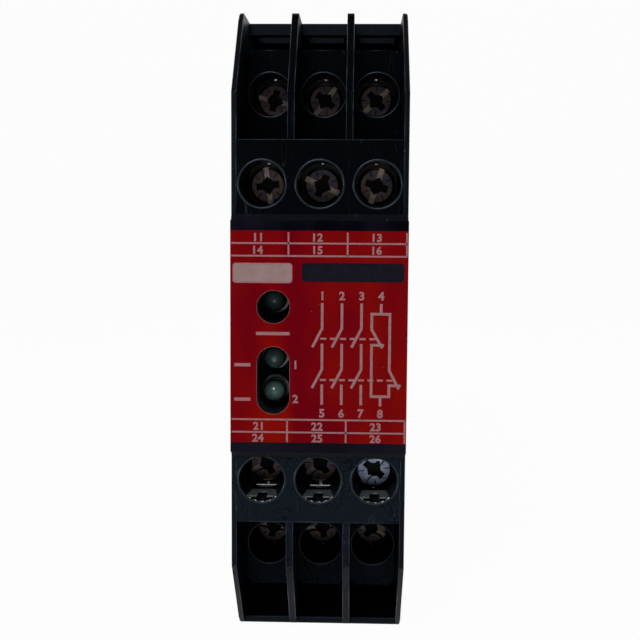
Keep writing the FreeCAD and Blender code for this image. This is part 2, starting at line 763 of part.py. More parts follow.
def make_bezel():
    """The raised front between the terminal covers, bevelled at its two ends and open behind."""
    body = new_body("front_bezel")
    top = "label_height / 2 - label_drop"
    bottom = "-label_height / 2 - label_drop"
    cap = side_sketch(body, "cap")
    outline(cap, [
        (depth("label_thick"), bottom),
        (depth("label_thick"), top),
        (depth("tier_one"), f"{top} + bevel"),
        (depth("tier_one"), f"{bottom} - bevel"),
    ])
    pad(body, cap, "case_width", both=True)
    half = "case_width / 2 - fin_wall - fit_gap"
    skirt_half = "cover_start - fit_gap"
    skirt = front_sketch(body, "skirt", "tier_one")
    rectangle(skirt, f"-({half})", half, f"-({skirt_half})", skirt_half)
    pad(body, skirt, "bezel_back - tier_one", back=True)
    room = front_sketch(body, "room", "bezel_back")
    rectangle(room, f"-({half} - bezel_wall)", f"{half} - bezel_wall",
              f"-({skirt_half} - bezel_wall)", f"{skirt_half} - bezel_wall")
    pocket(body, room, "bezel_back - label_thick - bezel_skin", back=True)
    collar = front_sketch(body, "lamp_collars", "label_thick + bezel_skin")
    lamp_openings(collar, "lamp_collar")
    pad(body, collar, "collar_back - label_thick - bezel_skin", back=True)
    holes = front_sketch(body, "lamp_openings", "label_thick")
    lamp_openings(holes)
    pocket(body, holes, "collar_back")
    round_slot(body, "lamp_hole / 2 - 0.02")
    return body


def make_label():
    """The label: one thin sheet over the front platform, cut out for the lamps."""
    body = new_body("front_label")
    sheet_outline = front_sketch(body, "outline", "label_thick")
    rectangle(sheet_outline, "-label_width / 2", "label_width / 2",
              "-label_height / 2 - label_drop", "label_height / 2 - label_drop")
    pad(body, sheet_outline, "label_thick")
    holes = front_sketch(body, "lamp_openings", "0")
    lamp_openings(holes)
    pocket(body, holes, "label_thick")
    round_slot(body, "lamp_hole / 2 - 0.02")
    return body


def make_latch():
    """The rail latch: a slide with a hook at the rail, a window for its spring and an eye below."""
    body = new_body("rail_latch")
    half = "latch_width / 2"
    front = "channel_floor + slide_gap"
    back = "heel - latch_back"
    seat = "-rail_height / 2 - rail_play"
    nose = "-rail_height / 2 + lip_grip"
    side = side_sketch(body, "outline")
    outline(side, [
        (front, "-case_height / 2 + latch_end"),
        (back, "-case_height / 2 + latch_end"),
        (back, f"{nose} - lip_lead"),
        (f"{back} - lip_lead", nose),
        ("rail_gap", nose),
        ("rail_gap", f"{seat} - slide_gap"),
        (front, f"{seat} - slide_gap"),
    ])
    pad(body, side, "latch_width", both=True)
    ribs = top_sketch(body, "ribs", "-case_height / 2 + latch_end")
    rectangle(ribs, f"-({half} + rib_reach - slide_gap)", f"{half} + rib_reach - slide_gap",
              "rib_depth", "rib_depth + rib_thick")
    pad(body, ribs, "case_height / 2 - latch_end - rail_height / 2 - rail_play - slide_gap")
    window = sketch_on(body, "spring_window", "XZ_Plane", "-heel")
    rectangle(window, "-window_width / 2", "window_width / 2",
              "-peg_level - peg_thick - fit_gap", "-peg_level + spring_span + 2 * fit_gap")
    pocket(body, window, "heel", back=True)
    eye = sketch_on(body, "eye", "XZ_Plane", "-heel")
    low = "-case_height / 2 + latch_end + eye_height / 2"
    rectangle(eye, "-eye_width / 2", "eye_width / 2", low, f"{low} + eye_height / 2")
    pocket(body, eye, "heel", back=True)
    return body


def make_spring():
    """The latch spring, wound about Z between its peg and the top of the latch's window."""
    name = "latch_spring"
    made = doc.addObject("Part::Feature", name)
    made.Label = name
    wire = size("spring_wire")
    radius = (size("spring_width") - wire) / 2
    span = size("spring_span") - wire
    steps = round(size("spring_turns") * STEPS_PER_TURN)
    rise = span / size("spring_turns") / (2 * math.pi)
    points = []
    for step in range(steps + 1):
        angle = 2 * math.pi * step / STEPS_PER_TURN
        out = FreeCAD.Vector(math.cos(angle), math.sin(angle), 0)
        run = FreeCAD.Vector(-radius * math.sin(angle), radius * math.cos(angle), rise).normalize()
        centre = out * radius + FreeCAD.Vector(0, 0, span * step / steps)
        for corner in range(WIRE_SIDES):
            turn = 2 * math.pi * corner / WIRE_SIDES
            aside = out * math.cos(turn) + run.cross(out) * math.sin(turn)
            points.append(centre + aside * (wire / 2))
    facets = []
    last = steps * WIRE_SIDES
    for corner in range(WIRE_SIDES):
        following = (corner + 1) % WIRE_SIDES
        for first in range(0, last, WIRE_SIDES):
            second = first + WIRE_SIDES
            facets.append((first + corner, second + corner, second + following))
            facets.append((first + corner, second + following, first + following))
        if 0 < corner < WIRE_SIDES - 1:
            facets.append((0, corner, following))
            facets.append((last, last + following, last + corner))
    skin = Part.Shape()
    skin.makeShapeFromMesh((points, facets), 0.001)
    solid = Part.Solid(skin)
    made.Shape = solid if solid.Volume > 0 else solid.reversed()
    middle = (size("channel_floor") + size("heel") - size("latch_back")) / 2
    made.Placement = FreeCAD.Placement(
        FreeCAD.Vector(0, middle, wire / 2 - size("peg_level")), FreeCAD.Rotation())
    return made


def lamp_places():
    """The heights of the three lamps, by name."""
    return {"lamp_power": "power_lamp_up", "lamp_channel_one": "-channel_one_down",
            "lamp_channel_two": "-channel_two_down"}


def make_lamp(name, up):
    """A small lamp: a lens bevelled at the tip, a rim at its foot and two leads to the terminal board."""
    body = new_body(name)
    seat = "lamp_tip + lamp_length"
    rim = front_sketch(body, "rim", seat)
    disc(rim, "-lamp_across", up, "lamp_rim")
    pad(body, rim, "rim_thick")
    lens = front_sketch(body, "lens", seat)
    disc(lens, "-lamp_across", up, "lamp_width")
    pad(body, lens, "lamp_length")
    tip = size("lamp_tip") - size("reach")
    dress(body, "Chamfer", "lamp_bevel", lambda edge: (
        near(edge.BoundBox.YMin, tip) and near(edge.BoundBox.YMax, tip)))
    leads = front_sketch(body, "leads", seat)
    for sign in ("-", "+"):
        middle = f"-lamp_across {sign} lead_spread / 2"
        rectangle(leads, f"{middle} - lead_thick / 2", f"{middle} + lead_thick / 2",
                  f"{up} - lead_thick / 2", f"{up} + lead_thick / 2")
    pad(body, leads, f"board_at + board_thick + pin_out - ({seat})", back=True)
    return body


def make_lamp_holder():
    """The spacer between the terminal board and the lamps, slotted for their leads."""
    body = new_body("lamp_holder")
    seat = "lamp_tip + lamp_length"
    block = front_sketch(body, "block", seat)
    rectangle(block, "-lamp_across - holder_width / 2", "-lamp_across + holder_width / 2",
              "-channel_two_down - holder_margin", "power_lamp_up + holder_margin")
    pad(body, block, f"board_at - ({seat})", back=True)
    slots = front_sketch(body, "lead_slots", seat)
    for up in lamp_places().values():
        rectangle(slots, "-lamp_across - lead_spread / 2 - lead_thick",
                  "-lamp_across + lead_spread / 2 + lead_thick", f"{up} - lead_thick", f"{up} + lead_thick")
    pocket(body, slots, f"board_at - ({seat})")
    return body


def make_terminal_board():
    """The board across the case that takes the contact tails and the lamp leads."""
    body = new_body("terminal_board")
    plate = front_sketch(body, "outline", "board_at")
    half = "case_width / 2 - fin_wall - fit_gap"
    tall = "case_height / 2 - end_wall - fit_gap"
    rectangle(plate, f"-({half})", half, f"-({tall})", tall)
    pad(body, plate, "board_thick", back=True)
    holes = front_sketch(body, "pin_holes", "board_at")
    rows = {"one": "cover_start + cover_wall + tail_gap + tail_thick / 2",
            "two": "step_height + cover_wall + tail_gap + tail_thick / 2"}
    for tier, up in rows.items():
        for column in COLUMNS.values():
            for sign in ("", "-"):
                square(holes, f"{column} * pitch_{tier}", f"{sign}({up})", "pin_hole")
    for up in lamp_places().values():
        for sign in ("-", "+"):
            square(holes, f"-lamp_across {sign} lead_spread / 2", up, "2 * lead_thick")
    pocket(body, holes, "board_thick")
    return body


def make_main_board():
    """The board along the case that carries the relays and the supply."""
    body = new_body("main_board")
    plate = side_sketch(body, "outline", "-main_board_at")
    tall = "case_height / 2 - end_wall - fit_gap"
    rectangle(plate, depth("board_at + board_thick"), "-main_board_back", f"-({tall})", tall)
    pad(body, plate, "board_thick")
    return body


def board_face():
    """The X of the main board's component side."""
    return "-main_board_at + board_thick"


def make_relay(name, sign):
    """A sealed relay can with a chamfered lid, standing on the main board."""
    body = new_body(name)
    foot = side_sketch(body, "outline", board_face())
    near_edge = f"{sign}relay_gap / 2"
    far_edge = f"{sign}(relay_gap / 2 + relay_side)"
    rectangle(foot, "-relay_back - relay_length", "-relay_back", near_edge, far_edge)
    pad(body, foot, "relay_side")
    lid = size("relay_side") + size("board_thick") - size("main_board_at")
    dress(body, "Chamfer", "relay_edge", lambda edge: ends(edge, lambda point: near(point.x, lid)))
    return body


def make_can(name, width, height, y, z):
    """A round can standing on the main board."""
    body = new_body(name)
    foot = side_sketch(body, "foot", board_face())
    disc(foot, y, z, width)
    pad(body, foot, height)
    return body


def make_block(name, length, thick, width, y, z):
    """A rectangular part lying on the main board, its upper edges chamfered."""
    body = new_body(name)
    foot = side_sketch(body, "foot", board_face())
    rectangle(foot, f"{y} - {length} / 2", f"{y} + {length} / 2", f"{z} - {width} / 2", f"{z} + {width} / 2")
    pad(body, foot, thick)
    lid = size("board_thick") - size("main_board_at") + size(thick)
    dress(body, "Chamfer", f"{thick} / 6", lambda edge: ends(edge, lambda point: near(point.x, lid)))
    return body


def make_all():
    """Build every sub-part."""
    parts = [make_housing()]
    for end in ("upper", "lower"):
        for maker, name in ((make_cover, f"{end}_terminal_cover"), (make_base, f"{end}_terminal_base")):
            piece = maker(name)
            turned_over(piece, end == "lower")
            parts.append(piece)
    parts += [make_bezel(), make_label(), make_latch(), make_spring()]
    parts += [make_lamp(name, up) for name, up in lamp_places().items()]
    parts += [make_lamp_holder(), make_terminal_board(), make_main_board()]
    parts += [make_relay("relay_one", ""), make_relay("relay_two", "-")]
    first = "-relay_back - relay_length + capacitor_width / 2"
    parts.append(make_can("capacitor", "capacitor_width", "capacitor_height", first, "part_row"))
    parts.append(make_can("fuse", "fuse_width", "fuse_height", first, "-part_row"))
    second = f"{first} + 2 * capacitor_width"
    parts.append(make_block("varistor", "varistor_width", "varistor_width", "varistor_thick",
                            second, "-part_row"))
    parts.append(make_block("rectifier", "rectifier_length", "rectifier_thick", "chip_width",
                            f"{second} + 2 * varistor_width", "-part_row"))
    parts.append(make_block("control_chip", "chip_length", "chip_thick", "chip_width",
                            f"{second} + capacitor_width / 2", "part_row"))
    parts += make_clamps()
    return parts


def check(parts):
    """Stop if a feature failed, a cut removed nothing or a sub-part isn't one sound solid."""
    for item in doc.Objects:
        if "Invalid" in item.State or "Error" in item.State:
            raise RuntimeError(f"{item.Name}: {item.State}")
        if item.TypeId == "PartDesign::Pocket":
            if item.Shape.Volume >= item.BaseFeature.Shape.Volume - 1e-6:
                raise RuntimeError(f"{item.Name} cut nothing")
    for part in parts:
        shape = part.Shape
        if shape.isNull() or not shape.isValid() or len(shape.Solids) != 1:
            raise RuntimeError(f"{part.Label}: not one sound solid")


parts = make_all()
doc.recompute()
check(parts)
os.makedirs("parts", exist_ok=True)
for part in parts:
    part.Shape.exportStep(f"parts/{part.Label}.step")
print(len(parts), "sub-parts")
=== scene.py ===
"""Dressing of a narrow rail-mounted safety relay: finishes, small hardware and the printed front."""

import json
import logging
import math
from dataclasses import dataclass, field
from enum import Enum
from functools import cache
from typing import Any, ClassVar, Iterable, Sequence

import bmesh
import bpy
from mathutils import Matrix, Vector

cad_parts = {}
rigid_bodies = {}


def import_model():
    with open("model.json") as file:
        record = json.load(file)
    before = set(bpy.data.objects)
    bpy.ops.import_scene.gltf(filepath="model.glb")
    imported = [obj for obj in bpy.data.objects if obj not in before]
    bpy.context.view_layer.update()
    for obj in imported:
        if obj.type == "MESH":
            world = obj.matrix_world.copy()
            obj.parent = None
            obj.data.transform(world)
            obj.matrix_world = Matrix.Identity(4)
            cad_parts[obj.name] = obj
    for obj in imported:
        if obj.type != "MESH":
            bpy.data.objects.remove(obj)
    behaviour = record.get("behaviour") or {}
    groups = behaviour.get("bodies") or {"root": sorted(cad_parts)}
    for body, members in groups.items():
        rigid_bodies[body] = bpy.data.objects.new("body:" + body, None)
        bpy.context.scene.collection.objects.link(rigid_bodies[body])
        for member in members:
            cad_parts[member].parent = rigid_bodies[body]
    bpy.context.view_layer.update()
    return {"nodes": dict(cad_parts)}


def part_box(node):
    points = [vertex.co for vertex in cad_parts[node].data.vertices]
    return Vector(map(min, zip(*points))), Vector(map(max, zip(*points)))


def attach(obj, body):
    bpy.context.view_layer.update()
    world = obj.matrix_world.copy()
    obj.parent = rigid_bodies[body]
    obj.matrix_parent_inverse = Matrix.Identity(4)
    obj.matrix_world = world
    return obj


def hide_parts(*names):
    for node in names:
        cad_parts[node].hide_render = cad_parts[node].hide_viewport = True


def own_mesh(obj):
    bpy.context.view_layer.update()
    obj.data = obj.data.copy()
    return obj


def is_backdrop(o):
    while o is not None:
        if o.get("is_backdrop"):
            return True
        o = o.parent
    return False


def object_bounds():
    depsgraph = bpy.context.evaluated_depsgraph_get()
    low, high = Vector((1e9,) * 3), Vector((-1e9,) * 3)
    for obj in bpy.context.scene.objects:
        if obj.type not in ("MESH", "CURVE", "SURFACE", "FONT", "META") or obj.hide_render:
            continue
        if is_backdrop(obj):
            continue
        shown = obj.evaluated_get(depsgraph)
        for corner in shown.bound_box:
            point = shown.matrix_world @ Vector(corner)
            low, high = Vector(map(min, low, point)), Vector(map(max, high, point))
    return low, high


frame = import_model()
MM = 0.001
log = logging.getLogger("safety_relay")

Colour = tuple[float, float, float]
Point = tuple[float, float]


class Body(Enum):
    """Moving bodies that pieces ride on, apart from the twelve clamps."""

    CASE = "case"
    LATCH = "latch"


class Slot(Enum):
    """Material slots named in the record."""

    PLASTIC = "black_plastic"
    INNER = "inner_moulding"
    PRINT = "label_print"
    LATCH = "latch_plastic"
    SPRING = "spring_steel"
    RESIN = "lamp_resin"
    BOARD = "board_laminate"
    RELAY = "relay_case"
    CAN = "can_aluminium"
    COMPONENT = "component_black"
    VARISTOR = "varistor_coating"
    SCREW = "screw_metal"
    SADDLE = "saddle_metal"
    TINNED = "tinned_contact"


class Graph:
    """A node tree that is built with one method."""

    def __init__(self, tree: bpy.types.NodeTree) -> None:
        """Start with an empty tree."""
        self.tree = tree
        tree.nodes.clear()

    def node(
        self,
        kind: str,
        settings: dict[str, Any] | None = None,
        inputs: dict[Any, Any] | None = None,
    ) -> bpy.types.Node:
        """Add a node.

        Args:
            kind: the node's type.
            settings: its properties, set before the sockets.
            inputs: values or links by socket name or index.

        Returns:
            The new node.
        """
        made = self.tree.nodes.new(kind)
        for name, value in (settings or {}).items():
            setattr(made, name, value)
        for key, value in (inputs or {}).items():
            source = value.socket if isinstance(value, Value) else value
            if isinstance(source, bpy.types.NodeSocket):
                self.tree.links.new(source, made.inputs[key])
            else:
                made.inputs[key].default_value = source
        return made


@dataclass(frozen=True)
class Value:
    """A number's socket, with the operators that expressions use."""

    graph: Graph
    socket: bpy.types.NodeSocket

    def _maths(self, operation: str, first: Any, second: Any = 0.0, clamp: bool = False) -> "Value":
        """Add a Math node.

        Args:
            operation: the node's operation.
            first: its first value or socket.
            second: its second value or socket.
            clamp: whether the result is kept between 0 and 1.

        Returns:
            The result's socket.
        """
        made = self.graph.node(
            "ShaderNodeMath", {"operation": operation, "use_clamp": clamp}, {0: first, 1: second})
        return Value(self.graph, made.outputs[0])

    def __add__(self, other: Any) -> "Value":
        """Add a number or a socket."""
        return self._maths("ADD", self, other)

    __radd__ = __add__

    def __sub__(self, other: Any) -> "Value":
        """Take a number or a socket away."""
        return self._maths("SUBTRACT", self, other)

    def __rsub__(self, other: Any) -> "Value":
        """Take this from a number."""
        return self._maths("SUBTRACT", other, self)

    def __mul__(self, other: Any) -> "Value":
        """Multiply by a number or a socket."""
        return self._maths("MULTIPLY", self, other)

    __rmul__ = __mul__

    def __abs__(self) -> "Value":
        """Drop the sign."""
        return self._maths("ABSOLUTE", self)

    def __pow__(self, other: Any) -> "Value":
        """Raise to a power."""
        return self._maths("POWER", self, other)

    def above(self, limit: float) -> "Value":
        """Return 1 where this is over a limit, else 0."""
        return self._maths("GREATER_THAN", self, limit)

    def kept(self) -> "Value":
        """Keep the value between 0 and 1."""
        return self._maths("ADD", self, 0.0, clamp=True)

    def step(self, low: float, high: float) -> "Value":
        """Rise from 0 at one value to 1 at another."""
        return ((self - low) * (1.0 / (high - low))).kept()


class Shade(Graph):
    """A material's nodes, on object coordinates."""

    def __init__(self, name: str) -> None:
        """Start a material."""
        self.material = bpy.data.materials.new(name)
        self.material.use_nodes = True
        super().__init__(self.material.node_tree)
        self.place = self.node("ShaderNodeTexCoord").outputs["Object"]

    def stretched(self, scale: tuple[float, float, float], turn: float = 0.0) -> bpy.types.NodeSocket:
        """Return object coordinates scaled on each axis, then turned about Y in radians."""
        made = self.node(
            "ShaderNodeMapping", {}, {"Vector": self.place, "Rotation": (0.0, turn, 0.0), "Scale": scale})
        return made.outputs["Vector"]

    def noise(self, scale: float, detail: float = 2.0, place: Any = None, rough: float = 0.5) -> Value:
        """Return soft noise between 0 and 1.

        Args:
            scale: grains to the metre.
            detail: octaves.
            place: the coordinates, or None for the object's own.
            rough: the weight of the finer octaves.

        Returns:
            The noise's socket.
        """
        made = self.node("ShaderNodeTexNoise", {}, {
            "Vector": place or self.place, "Scale": scale, "Detail": detail, "Roughness": rough})
        return Value(self, made.outputs[0])

    def specks(self, scale: float, size: float, share: float) -> Value:
        """Return sparse round specks, 1 inside and 0 outside.

        Args:
            scale: cells to the metre.
            size: a speck's radius as a share of its cell.
            share: how much of the cells have one.

        Returns:
            The specks' socket.
        """
        cells = self.node("ShaderNodeTexVoronoi", {}, {"Vector": self.place, "Scale": scale})
        chance = self.node("ShaderNodeSeparateColor", {}, {0: cells.outputs["Color"]})
        inside = 1.0 - Value(self, cells.outputs["Distance"]).step(size * 0.6, size)
        return inside * Value(self, chance.outputs[0]).above(1.0 - share)

    def crackle(self, scale: float) -> Value:
        """Return fine wandering cracks, 1 in a crack and 0 beside it, with cells to the metre."""
        cells = self.node("ShaderNodeTexVoronoi", {"feature": "DISTANCE_TO_EDGE"}, {
            "Vector": self.place, "Scale": scale, "Randomness": 1.0})
        return 1.0 - Value(self, cells.outputs["Distance"]).step(0.01, 0.07)

    def hairlines(self, scale: float, turn: float, width: float) -> Value:
        """Return thin scratches that run one way.

        Args:
            scale: scratches to the metre across their run.
            turn: their direction about Y in radians.
            width: half the band of the noise that a scratch takes.

        Returns:
            The scratches' socket.
        """
        lines = self.noise(scale, 1.0, self.stretched((1.0, 1.0, 0.06), turn))
        broken = self.noise(scale * 0.35, 1.0).step(0.56, 0.66)
        return (1.0 - abs(lines - 0.5).step(0.0, width)) * broken

    def mix(self, factor: Any, first: Any, second: Any) -> bpy.types.NodeSocket:
        """Mix two colours.

        Args:
            factor: the second colour's share.
            first: a colour or a socket.
            second: a colour or a socket.

        Returns:
            The mixed colour's socket.
        """
        pair = [(*c, 1.0) if isinstance(c, tuple) else c for c in (first, second)]
        made = self.node("ShaderNodeMix", {"data_type": "RGBA"}, {0: factor, 6: pair[0], 7: pair[1]})
        return made.outputs[2]

    def bump(self, height: Value, depth: float) -> bpy.types.NodeSocket:
        """Turn a height from 0 to 1 into a normal, where 1 stands for a depth in metres."""
        made = self.node("ShaderNodeBump", {}, {"Strength": 1.0, "Distance": depth, "Height": height})
        return made.outputs["Normal"]

    def surface(self, sockets: dict[str, Any]) -> bpy.types.Material:
        """End the material in a Principled shader with these values and links."""
        shader = self.node("ShaderNodeBsdfPrincipled", {}, sockets)
        self.node("ShaderNodeOutputMaterial", {}, {"Surface": shader.outputs[0]})
        return self.material


@dataclass(frozen=True)
class Finish:
    """A finish, whose material is built at its first use."""

    name: str

    @property
    @cache
    def made(self) -> bpy.types.Material:
        """Return the material."""
        return self.material()

    def material(self) -> bpy.types.Material:
        """Build the material."""
        raise NotImplementedError


@dataclass(frozen=True)
class Plastic(Finish):
    """A moulded plastic with grain, dust and hairline scratches."""

    colour: Colour
    pale: Colour
    roughness: float = 0.42
    grain: float = 3200.0
    grain_depth: float = 0.000012
    dust: float = 0.05
    specular: float = 0.12
    tint: Colour = (0.60, 0.79, 1.0)
    crackle: float = 0.0

    def material(self) -> bpy.types.Material:
        """Build the material, with its colour, roughness and relief."""
        shade = Shade(self.name)
        clouds = shade.noise(160.0, 4.0)
        grains = shade.noise(self.grain, 3.0, rough=0.65)
        dust = shade.specks(1400.0, 0.16, self.dust)
        lint = shade.specks(420.0, 0.05, self.dust * 1.6)
        scratches = shade.hairlines(900.0, 0.5, 0.006) + shade.hairlines(700.0, -0.9, 0.005)
        soiled = (dust * 0.55 + lint + scratches * 0.35).kept()
        base = shade.mix(clouds.step(0.35, 0.75) * 0.45, self.colour, tuple(c * 1.5 for c in self.colour))
        cracks = shade.crackle(1250.0) * clouds.step(0.35, 0.6) * self.crackle
        return shade.surface({
            "Base Color": shade.mix(soiled, shade.mix(cracks, base, (0.0001, 0.0001, 0.0002)), self.pale),
            "Roughness": clouds * 0.16 + soiled * 0.2 + cracks * 0.3 + (self.roughness - 0.08),
            "Specular IOR Level": self.specular,
            "Specular Tint": (*self.tint, 1.0),
            "Normal": shade.bump(grains + scratches * -0.6 + cracks * -1.6, self.grain_depth),
        })


@dataclass(frozen=True)
class Plated(Finish):
    """A plated metal with patches and stains in two further tones, and fine turning marks; on the screws
    these tones are painted reflection, on other parts real staining.
    """

    tones: tuple[Colour, Colour, Colour]
    roughness: float = 0.3
    patch: float = 900.0
    marks: float = 9000.0

    def material(self) -> bpy.types.Material:
        """Build the material, with its colour, roughness and relief."""
        shade = Shade(self.name)
        patches = shade.noise(self.patch, 3.0)
        stains_and_reflected_tint = shade.noise(self.patch * 2.3, 2.0, rough=0.6)
        marks = shade.noise(self.marks, 2.0, shade.stretched((1.0, 0.2, 0.5), 0.4))
        patch_tone = shade.mix(patches.step(0.42, 0.6), self.tones[0], self.tones[1])
        return shade.surface({
            "Base Color": shade.mix(stains_and_reflected_tint.step(0.55, 0.68), patch_tone, self.tones[2]),
            "Metallic": 1.0,
            "Roughness": patches * 0.25 + marks * 0.12 + (self.roughness - 0.12),
            "Normal": shade.bump(marks, 0.000003),
        })


@dataclass(frozen=True)
class Film(Finish):
    """The glossy printed film on the front, dark beyond the ends of its colour field."""

    colour: Colour
    deep: Colour
    dark: Colour
    dark_low: Colour
    low: float
    high: float

    def material(self) -> bpy.types.Material:
        """Build the material, with its colour, roughness and relief."""
        shade = Shade(self.name)
        parts = shade.node("ShaderNodeSeparateXYZ", {}, {0: shade.place})
        up = Value(shade, parts.outputs[2])
        streaks = shade.noise(190.0, 2.0, shade.stretched((1.0, 0.1, 0.16)))
        clouds = shade.noise(110.0, 3.0)
        dust = shade.specks(1100.0, 0.07, 0.05)
        ragged = (shade.noise(2500.0, 2.0) - 0.5) * 0.00012
        above = (up + ragged).step(self.high - 0.00004, self.high + 0.00004)
        below = 1.0 - (up + ragged).step(self.low - 0.00004, self.low + 0.00004)
        red = shade.mix((streaks * 0.7 + clouds * 0.35).step(0.40, 0.66), self.deep, self.colour)
        band = shade.mix(above, self.dark_low, self.dark)
        patchy = shade.mix(clouds.step(0.45, 0.65) * 0.6, band, tuple(c * 2.2 for c in self.dark_low))
        inked = shade.mix((above + below).kept(), red, patchy)
        return shade.surface({
            "Base Color": shade.mix(dust * 0.5, inked, (0.30, 0.22, 0.22)),
            "Roughness": clouds * 0.14 + dust * 0.3 + 0.24,
            "Specular IOR Level": 0.012,
            "Normal": shade.bump(shade.noise(260.0, 2.0) + shade.noise(3800.0, 1.0) * 0.08, 0.000035),
        })


@dataclass(frozen=True)
class Coat(Finish):
    """A plain coloured surface with a little mottle, such as ink, laminate or a painted part."""

    colour: Colour
    roughness: float = 0.5
    specular: float = 0.08
    mottle: float = 0.25
    scale: float = 1500.0
    depth: float = 0.000006

    def material(self) -> bpy.types.Material:
        """Build the material, with its colour, roughness and relief."""
        shade = Shade(self.name)
        clouds = shade.noise(self.scale, 3.0)
        darker = tuple(c * (1.0 - self.mottle) for c in self.colour)
        return shade.surface({
            "Base Color": shade.mix(clouds.step(0.35, 0.65), darker, self.colour),
            "Roughness": clouds * 0.16 + (self.roughness - 0.08),
            "Specular IOR Level": self.specular,
            "Normal": shade.bump(clouds, self.depth),
        })


@dataclass(frozen=True)
class Resin(Finish):
    """A tinted lamp resin with painted light: lighter in the middle where the dome faces the view, darker at
    its rim.
    """

    colour: Colour
    painted_glow_colour: Colour

    def material(self) -> bpy.types.Material:
        """Build the material, with its colour, roughness and relief."""
        shade = Shade(self.name)
        facing = shade.node("ShaderNodeLayerWeight", {}, {"Blend": 0.35})
        # Painted light: the base colour brightens where the dome faces the view.
        middle = (1.0 - Value(shade, facing.outputs["Facing"])) ** 2.0
        clouds = shade.noise(700.0, 2.0)
        return shade.surface({
            "Base Color": shade.mix((middle * (clouds * 0.7 + 0.5)).kept(), self.colour, self.painted_glow_colour),
            "Roughness": clouds * 0.1 + 0.14,
            "Specular IOR Level": 0.5,
            "Coat Weight": 0.6,
            "Coat Roughness": 0.06,
        })


